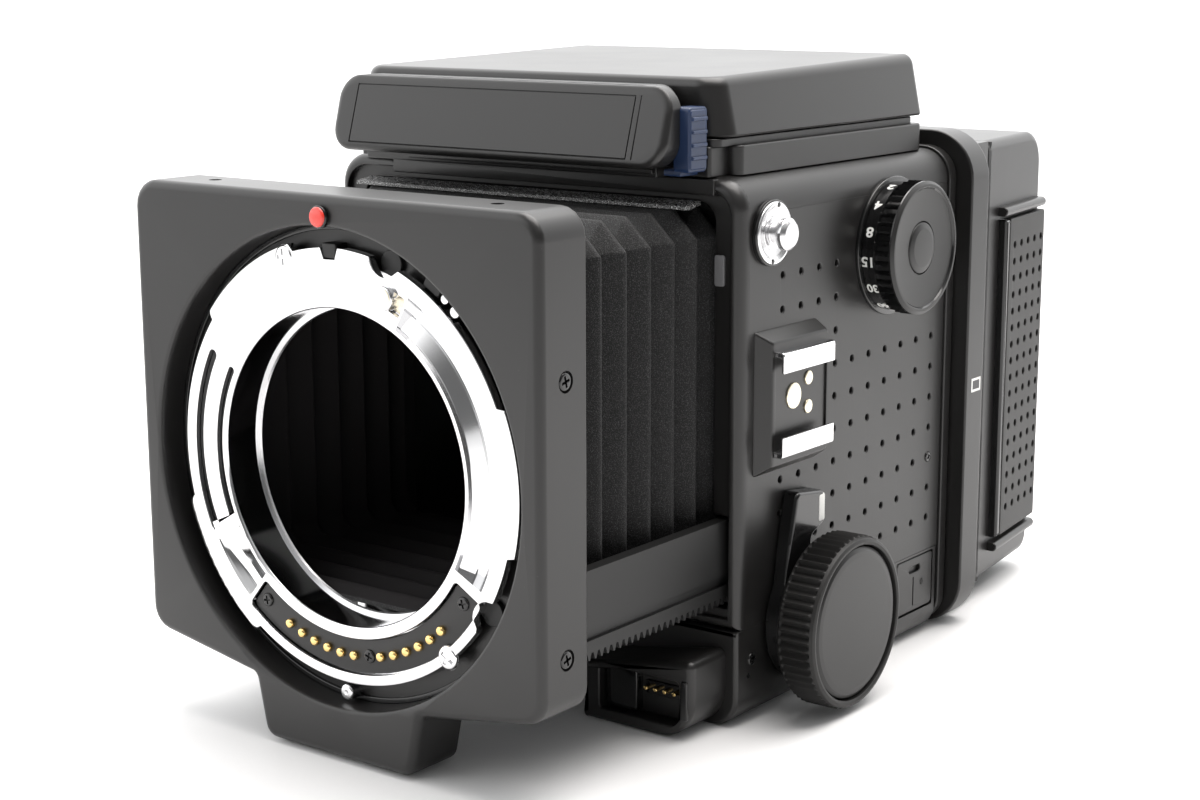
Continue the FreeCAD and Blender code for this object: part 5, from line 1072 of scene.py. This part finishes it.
class Knobs(Step, bpy.types.Operator):
    """Builds the ribbed focusing knobs and the focus lock"""
    bl_idname = "bellows_camera.knobs"
    bl_label = "Focusing knobs"

    def execute(self, context):
        ribs = self.count("knob_ribs")

        def rib(angle):
            return -0.9 * abs(math.sin(ribs * angle / 2)) ** 1.4

        for hand, place, side in SIDES:
            low, high = span("knob_" + hand)
            inner, outer = sorted((low.x * side, high.x * side))
            y, z, floor = KNOB[0] * side, KNOB[1], inner + 2.0
            grip, face = forms(2)
            profile = [
                (3.0, inner), (17.0, inner, 0.3), (17.2, inner + 0.5), (17.7, inner + 0.9, 0.3, 1.0),
                (17.7, outer - 1.5, 0.3, 1.0), (17.35, outer - 0.9, 0.2), (17.2, outer - 0.25, 0.3),
                (16.5, outer, 0.3), (15.9, outer - 0.15, 0.2), (15.8, floor), (3.0, floor)]
            grip.turned(place, y, z, profile, ribs * 6, rib, closed=True)
            settle(grip, "knob_grip_" + hand, "soft_rubber", "knob_" + hand, "focus_drive",
                   sharp=50)
            face.turned(place, y, z, [
                (0, floor), (15.5, floor), (15.5, outer - 0.8, 0.25), (14.6, outer - 0.3, 0.35),
                (13.5, outer - 0.2, 0.4), (8.0, outer - 0.05), (0, outer)], 96)
            settle(face, "knob_disc_" + hand, "cast_black", "knob_face_" + hand, "focus_drive")
        self.lock()
        return {"FINISHED"}

    def lock(self):
        low, high = span("lock_lever")
        y, z = KNOB
        form, stripe = forms(2)
        tongue = [(-11.0, 6.0, 0.0), (-9.3, 16.5, 3.0), (-7.0, 26.8, 1.5), (3.6, 25.4, 1.5),
                  (3.8, 18.5, 1.0), (-1.6, 16.5, 1.5), (2.0, 8.0, 0.0)]
        corners = [(y + back, z + up, radius) for back, up, radius in tongue]
        form.plate(on_left, eased(corners), low.x, high.x - 0.8, 0.2, 0.8, steps=5)
        profile = [(6.1, low.x), (13.5, low.x, 0.3), (13.5, high.x, 0.7), (6.1, high.x)]
        form.turned(on_left, y, z, profile, 96, closed=True)
        settle(form, "focus_lock_lever", "gloss_black", "lock_lever", "focus_lock",
               flat=True)
        stripe.plate(on_left, block(-16.7, 37.9, -14.05, 43.9, 0.7), high.x - 2.6, high.x - 0.74, 0.0, 0.5)
        settle(stripe, "focus_lock_mark", "white_paint", body="focus_lock")


class ShutterDial(Step, bpy.types.Operator):
    """Builds the shutter dial with its notches, figures and centre button"""
    bl_idname = "bellows_camera.shutter_dial"
    bl_label = "Shutter dial"

    def execute(self, context):
        notches = self.count("dial_notches")

        def notch(angle):
            return -0.95 * min(1.0, 1.5 * abs(math.sin(notches * angle / 2)))

        head, face, ring = forms(3)
        profile = [
            (3.1, 52.9), (13.5, 52.9, 0.15), (13.5, 55.6), (13.6, 55.75, 0.1), (13.95, 55.85, 0.0, 1.0),
            (13.95, 59.2, 0.0, 1.0), (13.95, 59.4, 0.1), (13.9, 59.8, 0.2), (13.3, 60.3, 0.3),
            (12.7, 60.25, 0.15), (12.4, 59.8, 0.2), (9.5, 59.45), (6.1, 59.3), (5.6, 59.2, 0.15),
            (5.5, 58.4), (3.1, 58.4)]
        head.turned(on_left, *DIAL, profile, notches * 8, notch, closed=True)
        settle(head, "dial_head", "gloss_black", "shutter_dial", "dial", sharp=40)
        dish = [(5.62, 59.1), (12.38, 59.75), (12.38, 59.86), (9.5, 59.53), (5.62, 59.34)]
        rim = [(12.72, 60.2), (13.9, 59.66), (13.95, 59.78), (13.3, 60.36, 0.3), (12.78, 60.34)]
        for profile in (dish, rim):
            face.turned(on_left, *DIAL, profile, 96, closed=True)
        button = [(0, 58.3), (5.4, 58.3), (5.4, 59.5, 0.45), (4.0, 59.85, 0.8), (0, 60.0)]
        face.turned(on_left, *DIAL, button, 64, steps=6)
        settle(face, "dial_face", "cast_black", "dial_cap", "dial")
        seat = [(3.1, BODY_HALF), (14.6, BODY_HALF), (14.6, 52.8, 0.25), (3.1, 52.8)]
        ring.turned(on_left, *DIAL, seat, 96, closed=True)
        settle(ring, "dial_seat", "gloss_black", "dial_base")
        self.figures()
        return {"FINISHED"}

    def figures(self):
        """Plain figures wrapped round the skirt, read with the hand on the dial."""
        form = Form()
        skirt, middle, first, step, widest = 13.5, 54.3, 108.9, 26.3, 2.5
        for i, text in enumerate(("2", "4", "8", "15", "30", "60", "125", "250", "400")):
            letters = bpy.data.curves.new("figures", "FONT")
            letters.body = text
            letters.size = self.size("numeral")
            letters.offset = 0.07
            letters.align_x = "CENTER"
            letters.align_y = "CENTER"
            letters.extrude = 0.03
            letters.resolution_u = 6
            holder = bpy.data.objects.new("figures", letters)
            mesh = bpy.data.meshes.new_from_object(holder)
            edges = [vertex.co.x for vertex in mesh.vertices]
            stretch = min(1.15, widest / (max(edges) - min(edges)))
            for vertex in mesh.vertices:
                across, up, out = vertex.co
                angle = math.radians(first + step * i) + up / skirt
                vertex.co = (middle - across * stretch, *on_circle(*DIAL, skirt + 0.02 + out, angle))
            form.add_mesh(mesh)
            bpy.data.objects.remove(holder)
            bpy.data.curves.remove(letters)
            bpy.data.meshes.remove(mesh)
        settle(form, "dial_figures", "white_paint", body="dial")


class SideFittings(Step, bpy.types.Operator):
    """Builds the accessory shoe, the strap lugs and the advance lever"""
    bl_idname = "bellows_camera.side_fittings"
    bl_label = "Side fittings"

    def execute(self, context):
        self.shoe()
        self.lugs()
        self.advance_lever()
        return {"FINISHED"}

    def shoe(self):
        front, rear, low, high, top = -33.7, -13.2, 52.5, 77.1, 55.0
        middle, rail_inner = (low + high) / 2, 9.35
        form, contacts = forms(2)
        rings = []
        for depth, w in ((-2.0, 52.0), (-1.9, 52.35), (-0.25, 54.7), (0.0, 54.92), (0.4, top)):
            slope = block(front + depth, low + depth, rear, high - depth, 0.5, 3)
            rings.append(form.ring(on_left, slope, w))
        for first, second in zip(rings, rings[1:]):
            form.skin(first, second)
        channel = block(front + 1.2, middle - rail_inner, rear - 0.3, middle + rail_inner, 0.4)
        foot, rim = form.wall(on_left, channel, edge_levels(54.6, top, 0.0, 0.1, 2), hollow=True)
        form.cap(on_left, [foot])
        form.cap(on_left, [rings[-1], rim])
        form.cap(on_left, [rings[0]], up=False)
        satin(form, "shoe_block", "shoe_plinth")
        section = [(top, rail_inner, 0.0), (56.6, rail_inner, 0.2), (56.6, 6.35, 0.15), (57.3, 6.35, 0.2),
                   (57.3, 10.5, 0.7), (top, 10.5, 0.0)]
        for side, node in ((1, "shoe_rail_upper"), (-1, "shoe_rail_lower")):
            rail = Form()
            outline = eased([(out, middle + side * up, radius) for out, up, radius in section])
            rail.plate(on_front, outline, 14.1, 33.1, 0.25, 0.25)
            settle(rail, node + "_folded", "bright_chrome", node, flat=True)
        for y, up, radius in ((-25.5, 0.7, 2.6), (-20.0, 3.5, 1.4), (-20.0, -2.3, 1.4)):
            profile = [(0, 54.5), (radius, 54.5), (radius, 54.9, 0.12), (radius * 0.7, 54.98), (0, top)]
            contacts.turned(on_left, y, middle + up, profile, 40)
        settle(contacts, "shoe_contact_discs", "pale_brass", "shoe_contacts")

    def lugs(self):
        stud = [(0, 52.0), (6.1, 52.0), (6.1, 53.3, 0.3), (5.4, 53.4, 0.3), (4.6, 52.9, 0.8), (3.4, 52.75),
                (3.3, 52.9, 0.1), (2.6, 52.9, 0.2), (1.9, 52.8, 0.3), (1.7, 54.9, 0.2), (3.2, 55.1, 0.25),
                (3.2, 56.3, 0.4), (2.4, 57.0, 0.3), (0, 57.0)]
        rim = [(6.05, 52.0), (6.5, 52.0), (6.5, 53.0, 0.4), (6.05, 53.1, 0.2)]
        for hand, place, side in SIDES:
            u, z = LUG[0] * side, LUG[1]
            form = Form()
            form.turned(place, u, z, stud, 96)
            form.finish = 1
            form.turned(place, u, z, rim, 64, closed=True)
            for degrees in (80, 260):
                form.rod(place, *on_circle(u, z, 5.5, math.radians(degrees)), 0.5, 52.5, 53.45, 0.1, 16)
            settle(form, "strap_stud_" + hand, "satin_chrome gloss_black", "strap_lug_" + hand,
                   sharp=40)

    def advance_lever(self):
        outer, tip, hub = 60.2, 36.0, -LEVER[0]
        form = Form()
        form.turned(on_right, hub, LEVER[1], [
            (0, outer - 0.6), (4.55, outer - 0.6), (4.55, 52.4), (11.0, 52.4, 0.3), (11.0, outer, 1.0),
            (7.5, outer + 0.02, 0.2), (7.2, outer - 0.4, 0.2), (0, outer - 0.3)], 96)
        arm = [(hub + 8.5, 75.0, 1.0), (hub + 5.0, tip, 3.0), (hub - 5.5, tip, 3.0), (hub - 8.5, 75.0, 1.0)]
        form.plate(on_right, eased(arm), outer - 2.6, outer, 0.5, 0.7)
        grip = [(hub + 5.6, tip + 14.0, 1.0), (hub + 4.6, tip + 0.6, 2.0), (hub + 1.0, tip + 0.6, 1.0),
                (hub + 2.0, tip + 14.0, 1.0)]
        form.plate(on_right, eased(grip), outer - 0.1, outer + 3.0, 0.0, 0.9)
        settle(form, "advance_lever_arm", "gloss_black", "cocking_lever", "cocking",
               flat=True)


class Finder(Step, bpy.types.Operator):
    """Builds the folded waist-level finder, its lid, the name block without a name, and the latch"""
    bl_idname = "bellows_camera.finder"
    bl_label = "Finder"

    def execute(self, context):
        half = 47.5
        self.base_frame(half)
        self.lid(half)
        self.name_block()
        self.latch()
        return {"FINISHED"}

    def base_frame(self, half):
        front, back, nose, low, seat, top = -35.0, 37.5, -41.2, 109.0, 114.8, 116.2
        form = Form()
        well = (block(-33.8, -28.4, 33.8, 33.8, 1.5), None, 0.1)
        form.plate(on_top, block(-half, front, half, back, 2.0), low, seat, 0.15, 0.5, [well])
        form.plate(on_top, block(-45.0, nose, 45.0, front + 1.0, 0.8), low, seat, 0.15, 0.5)
        rim = block(1.6 - half, nose + 1.0, half - 1.6, back - 1.2, 2.0)
        form.plate(on_top, rim, seat - 0.1, top, 0.0, 0.3, [well])
        ears = ((34.9, 1.1, -27.1, 1.2), (34.9, 1.1, 33.2, 1.2), (31.7, 0.6, 33.1, 2.2))
        for side in (-1, 1):
            for x, wide, y, deep in ears:
                ear = block(side * x - wide, y, side * x + wide, y + deep)
                form.plate(on_top, ear, top - 0.1, 119.1, 0.0, 0.2)
        satin(form, "finder_seat", "finder_base")

    def lid(self, half):
        """A shell that rises to the back and draws in to the top."""
        front, back, low, front_top, rise, edge = -40.3, 38.2, 116.5, 127.7, 1.9, 1.9

        def leaning(u, v, w):
            share = (w - low) / (front_top - low)
            draw_in = 1 - 2.4 * share / half
            lift = rise * share * min(1.0, max(0.0, (v - front) / (back - front)))
            return (u * draw_in, v - 0.6 * share * max(0.0, v / back), w + lift)

        form = Form()
        corners = [(-half, front, 5.0), (half, front, 5.0), (half, back, 2.6), (-half, back, 2.6)]
        outline = eased(corners, steps=10)
        levels = [(0.35, low), (0.0, low + 0.35)] + quarter_round(front_top, edge, edge, 8)
        foot, rim = form.wall(leaning, outline, levels)
        form.cap(leaning, [rim])
        inner = block(2.1 - half, front + 2.0, half - 2.1, back - 2.0, 1.5, 4)
        levels = [(0, low), (0, front_top - 4.5), (-1.2, front_top - 2.2)]
        inner_foot, inner_top = form.wall(leaning, inner, levels, hollow=True)
        form.cap(leaning, [inner_top], up=False)
        form.cap(leaning, [foot, inner_foot], up=False)
        for side in (-9.5, 9.5):
            form.plate(on_top, block(side - 0.7, -16.2, side + 0.7, -13.0), 122.3, 126.6, 0.2, 0.0)
        satin(form, "finder_lid_shell", "finder_lid", "lid")

    def name_block(self):
        """A slab that leans back, with a shallow panel and a thin groove; its plate is bare."""
        half, low, high, front, back, joint = 42.5, 111.0, 126.3, 54.0, 41.7, 47.8
        lean, upright = 4.7 / (high - low), 46.0

        def leaning(u, v, w):
            share = min(1.0, max(0.0, (w - upright) / (front - upright)))
            return (u, -(w - lean * (v - low) * share), v)

        form, plate, bars = forms(3)
        slab = block(-half, low, half, high, 5.0, 7)
        foot, rim = form.wall(leaning, slab, edge_levels(joint, front, 0.0, 1.7, 7))
        rims = [rim]
        for left, right, deep in ((-37.15, 34.15, 0.6), (35.3, 35.55, 0.25)):
            panel = block(left, 112.75, right, 124.55, 0.1)
            levels = edge_levels(front - deep, front, 0.0, 0.1, 2)
            floor, mouth = form.wall(leaning, panel, levels, hollow=True)
            form.cap(leaning, [floor])
            rims.append(mouth)
        form.cap(leaning, rims)
        form.cap(leaning, [foot], up=False)
        root = eased([(-half, low, 5.0), (38.3, low, 0.5), (38.3, high, 4.0), (-half, high, 5.0)], steps=7)
        form.plate(on_front, root, back, joint + 0.1, 0.4, 0.0)
        satin(form, "name_block_shell", "name_block")
        plate.plate(leaning, block(-36.95, 112.95, 33.95, 124.35, 0.1), front - 0.6, front - 0.03, 0.0, 0.1)
        satin(plate, "bare_name_plate", "bare_plate")
        for left, bottom, right, up, rear, out, edge in (
                (-38.5, 108.9, 36.3, 111.2, 41.0, 46.4, 0.3),
                (-26.0, 109.6, 36.0, 110.6, 41.0, 47.4, 0.2),
                (-36.0, 105.6, 46.0, 108.7, 39.5, 41.2, 0.3)):
            bars.plate(on_front, block(left, bottom, right, up, edge), rear, out, 0.0, edge)
        settle(bars, "finder_front_bars", "satin_moulding")

    def latch(self):
        low, high = span("finder_latch")
        face = 44.7
        form = Form()
        form.plate(on_left, block(low.y, low.z, high.y, high.z, 0.9), low.x, face - 0.1, 0.2, 0.4)
        pad = block(low.y + 0.25, low.z + 0.6, high.y - 0.5, high.z - 0.5, 0.6)
        form.plate(on_left, pad, face - 0.3, face + 0.15, 0.0, 0.25)
        for k in range(4):
            z = low.z + 2.4 + 2.45 * k
            ridge = block(low.y + 0.5, z, high.y - 0.8, z + 0.75, 0.25)
            form.plate(on_left, ridge, face, high.x, 0.0, 0.25)
        form.plate(on_left, block(low.y + 0.3, low.z - 0.7, high.y, low.z + 0.5, 0.3), 38.6, 42.5, 0.1, 0.2)
        settle(form, "hood_latch", "blue_moulding", "finder_latch", "latch", flat=True)


class FilmBack(Step, bpy.types.Operator):
    """Builds the revolving adapter, the film magazine's cover and its dotted grip"""
    bl_idname = "bellows_camera.film_back"
    bl_label = "Film back"

    def execute(self, context):
        self.adapter()
        self.index()
        self.cover()
        self.grip()
        return {"FINISHED"}

    def adapter(self):
        """The body's back flange, and the plate that turns on it."""
        flange, form = forms(2)
        hole = (disc(0, AXIS, 48.85, 128), None, 0.1)
        flange.plate(on_back, block(-52.6, 1.0, 52.6, 109.6, 7.0, 8), 41.0, 44.3, 0.3, 0.7, [hole])
        satin(flange, "back_flange_plate", "back_flange")
        half, collar_front, front, floor, rear = 56.3, 41.3, 44.6, 50.1, 53.1
        square = block(-half, AXIS - half, half, AXIS + half, 10.7, 10)
        gate = block(-29.5, AXIS - 36.25, 29.5, AXIS + 36.25, 1.5)
        bore = disc(0, AXIS, 45.2, 128)
        first, last = form.wall(on_back, square, edge_levels(front, rear, 0.5, 1.2, 5))
        bore_front, bore_floor = form.wall(on_back, bore, [(0, collar_front), (0, floor)], hollow=True)
        gate_low, gate_high = form.wall(on_back, gate, [(0, floor), (0, rear)], hollow=True)
        collar = disc(0, AXIS, 48.8, 128)
        ring_front, ring_rear = [form.ring(on_back, collar, w) for w in (collar_front, front)]
        form.skin(ring_front, ring_rear)
        form.skin(bore_front, ring_front, hollow=True)
        form.cap(on_back, [first, ring_rear], up=False)
        form.cap(on_back, [bore_floor, gate_low], up=False)
        form.cap(on_back, [last, gate_high])
        satin(form, "adapter_plate", "revolving_adapter", "back")

    def index(self):
        form = Form()
        line, front, rear, low, high = 0.55, 47.0, 51.3, 54.5, 57.6
        inside = (block(front + line, low + line, rear - line, high - line), None, 0.0)
        form.plate(on_left, block(front, low, rear, high), 56.25, 56.33, 0.0, 0.0, [inside])
        settle(form, "adapter_index", "white_paint", body="back")

    def case_half(self, y):
        """Half the magazine's width, which narrows to the rear."""
        start, end, wide, narrow = 53.1, 104.4, 50.5, 43.9
        return wide - (wide - narrow) / (end - start) * (y - start)

    def cover(self):
        front, back, low, high, wall, reach = 66.3, 104.4, AXIS - 52.4, AXIS + 52.4, 2.2, 50.0

        def tapered(u, v, w):
            return (w / reach * self.case_half(u), u, v)

        def tapered_inside(u, v, w):
            return (w / reach * (self.case_half(u) - wall), u, v)

        form, hollow, hinge, ledges = forms(4)
        corners = [(front, low, 0.2), (back, low, 4.5), (back, high, 8.0), (front, high, 0.2)]
        outline = eased(corners, steps=9)
        form.plate(tapered, outline, -reach, reach, wall, wall, steps=6)
        piece = settle(form, "magazine_cover_shell", "satin_moulding", "magazine_cover", "film_door")
        inside = eased([(front - 2, low + wall), (back - wall, low + wall, 2.5),
                        (back - wall, high - wall, 6.0), (front - 2, high - wall)])
        hollow.plate(tapered_inside, inside, -reach, reach)
        carve(piece, hollow)
        pin_end, barrel_end = 6.5, 6.3 + (high - low) / 6
        hinge.rod(on_top, -49.7, 66.15, 0.7, low + pin_end, high - pin_end)
        hinge.rod(on_top, -49.7, 66.15, 1.5, low + barrel_end, high - barrel_end, 0.3)
        settle(hinge, "magazine_hinge_barrel", "gloss_black", body="film_door")
        for start in (10.0, 90.6):
            self.ledge(ledges, start + 0.2, start + 2.4)
        satin(ledges, "magazine_ledges", body="film_door")

    def ledge(self, form, low, high):
        """A half-round ledge along the magazine's slanting side."""
        def along(u, v, w):
            return (self.case_half(w) + u, w, v)

        section = eased([(-0.5, low), (2.4, low, 1.1), (2.4, high, 1.1), (-0.5, high)])
        form.plate(along, section, 74.6, 102.4, 0.4, 0.4)

    def grip(self):
        low, high = span("grip_panel")
        front, rear = low.y - 5.0, high.y
        dot, pitch, rows, columns = self.size("grip_dot"), self.size("grip_dot_pitch"), 17, 5

        def slanted(u, v, w):
            return (self.case_half(u) + w, u, v)

        panel, bar = forms(2)
        holes = []
        for row in range(rows):
            z = (low.z + high.z) / 2 + (row - (rows - 1) / 2) * pitch
            holes += [(disc(rear - 2.4 - i * pitch * 1.18, z, dot, 14), 1.1, 0.25) for i in range(columns)]
        panel.plate(slanted, block(front, low.z, rear, high.z, 0.8), -0.4, 2.0, 0.0, 0.4, holes, 3)
        settle(panel, "grip_panel_dotted", "soft_rubber", "grip_panel", "film_door",
               flat=True)
        bar.plate(slanted, block(front - 2.7, low.z, front - 0.1, high.z, 0.4), -0.4, 2.1, 0.0, 0.9)
        settle(bar, "grip_front_bar", "gloss_black", body="film_door", flat=True)


# The finish of each frame piece that still shows
NODE_FINISHES = {
    "cast_black": "body_shell battery_holder",
    "plain_steel": "tripod_bush focus_shaft dark_slide",
    "black_metal": "rail_left rail_right",
    "dull_black": "mirror_carrier hood_left hood_right hood_back magnifier film_insert",
    "mirror_silver": "mirror_glass",
    "ground_glass": "focusing_screen",
    "lens_glass": "magnifier_lens",
    "satin_moulding": "magazine_frame",
    "gloss_black": "take_up_spool",
}


class CarriedNodes(Step, bpy.types.Operator):
    """Gives every piece of the frame that still shows its proper finish"""
    bl_idname = "bellows_camera.carried_nodes"
    bl_label = "Frame pieces' finishes"

    def execute(self, context):
        for kind, names in NODE_FINISHES.items():
            for name in names.split():
                node = frame["nodes"][name]
                node.data.materials.clear()
                node.data.materials.append(finish(kind))
        return {"FINISHED"}


class Stage(Step, bpy.types.Operator):
    """Sets the floor, the soft light, the room and the camera"""
    bl_idname = "bellows_camera.stage"
    bl_label = "Stage"

    def execute(self, context):
        scene = context.scene
        form = Form()
        form.plate(on_top, block(-6000, -6000, 6000, 6000), -20.0, 0.0)
        floor = placed("floor", form.to_mesh("floor"))
        floor.data.materials.append(finish("floor_paper"))
        scene.world = self.studio()
        scene.view_settings.view_transform = "Standard"
        self.light("overhead", (0.1, 0.15, 0.9), (0.02, 0.05, 0.0), 0.8, 12.6)
        self.viewpoint(scene)
        return {"FINISHED"}

    def studio(self):
        """A white sweep behind, a pale ceiling and a window at the side; the room in front stays dim."""
        world = bpy.data.worlds.new("studio")
        world.use_nodes = True
        room = Network(world.node_tree)
        way = room.node("ShaderNodeTexCoord", outlet="Generated")
        rise = room.node("ShaderNodeSeparateXYZ", {}, {"Vector": way}, "Z")
        behind = room.vectors("DOT_PRODUCT", way, (-0.6, 0.8, 0.0), "Value")
        sweep = room.eased_step(behind, 0.0, 0.5) * 2.1
        ceiling = room.eased_step(rise, 0.3, 0.8) * 0.5
        aside = room.vectors("DOT_PRODUCT", way, (-0.6, -0.74, 0.3), "Value")
        screen = room.vectors("DOT_PRODUCT", way, (-0.16, -0.97, 0.1), "Value")
        window = room.eased_step(aside, 0.72, 0.97) * (1 - room.eased_step(screen, 0.93, 0.985)) * 2.0
        background = world.node_tree.nodes["Background"]
        room.feed(background.inputs["Color"], (1.0, 1.0, 1.0))
        room.feed(background.inputs["Strength"], sweep + ceiling + window + 0.16)
        return world

    def light(self, name, place, target, side, power):
        data = bpy.data.lights.new(name, "AREA")
        data.shape = "SQUARE"
        data.size = side
        data.energy = power
        data.color = (1.0, 0.965, 0.94)
        lamp = placed(name, data)
        lamp.location = place
        lamp.rotation_euler = (Vector(target) - Vector(place)).to_track_quat("-Z", "Y").to_euler()

    def viewpoint(self, scene):
        """The photograph's camera: its place, its three angles and its lens."""
        turn, drop, roll = math.radians(37.0756), math.radians(11.5993), math.radians(-0.137)
        ahead = Vector((-math.sin(turn) * math.cos(drop), math.cos(turn) * math.cos(drop), -math.sin(drop)))
        right = Vector((math.cos(turn), math.sin(turn), 0.0))
        up = right.cross(ahead)
        across = right * math.cos(roll) + up * math.sin(roll)
        over = up * math.cos(roll) - right * math.sin(roll)
        data = bpy.data.cameras.new("photograph")
        data.sensor_width = 36.0
        data.lens = 64.12
        data.clip_start = 0.01
        camera = placed("photograph", data)
        camera.matrix_world = Matrix.Translation((0.27264, -0.37705, 0.14924)) @ Matrix(
            (across, over, -ahead)).transposed().to_4x4()
        scene.camera = camera


STEPS = (FrontStandard, LensMount, Bellows, BodyFront, BodySides, BaseMoulding, Knobs, ShutterDial,
         SideFittings, Finder, FilmBack, CarriedNodes, Stage)


class CameraPanel(bpy.types.Panel):
    """Lists the camera's sizes, colours and pieces"""
    bl_idname = "VIEW3D_PT_bellows_camera"
    bl_label = "Bellows camera"
    bl_space_type = "VIEW_3D"
    bl_region_type = "UI"
    bl_category = "Bellows camera"

    def draw(self, context):
        for group in (context.scene.camera_sizes, context.scene.camera_colours):
            box = self.layout.box()
            for name in group.__annotations__:
                box.prop(group, name)
        column = self.layout.column()
        for step in STEPS:
            column.operator(step.bl_idname)


CLASSES = (CameraSizes, CameraColours, *STEPS, CameraPanel)


def register():
    for kind in CLASSES:
        bpy.utils.register_class(kind)
    bpy.types.Scene.camera_sizes = bpy.props.PointerProperty(type=CameraSizes)
    bpy.types.Scene.camera_colours = bpy.props.PointerProperty(type=CameraColours)


def unregister():
    del bpy.types.Scene.camera_colours
    del bpy.types.Scene.camera_sizes
    for kind in reversed(CLASSES):
        bpy.utils.unregister_class(kind)


def main():
    register()
    for step in STEPS:
        group, name = step.bl_idname.split(".")
        getattr(getattr(bpy.ops, group), name)()
    bpy.context.view_layer.update()


if __name__ == "__main__":
    main()
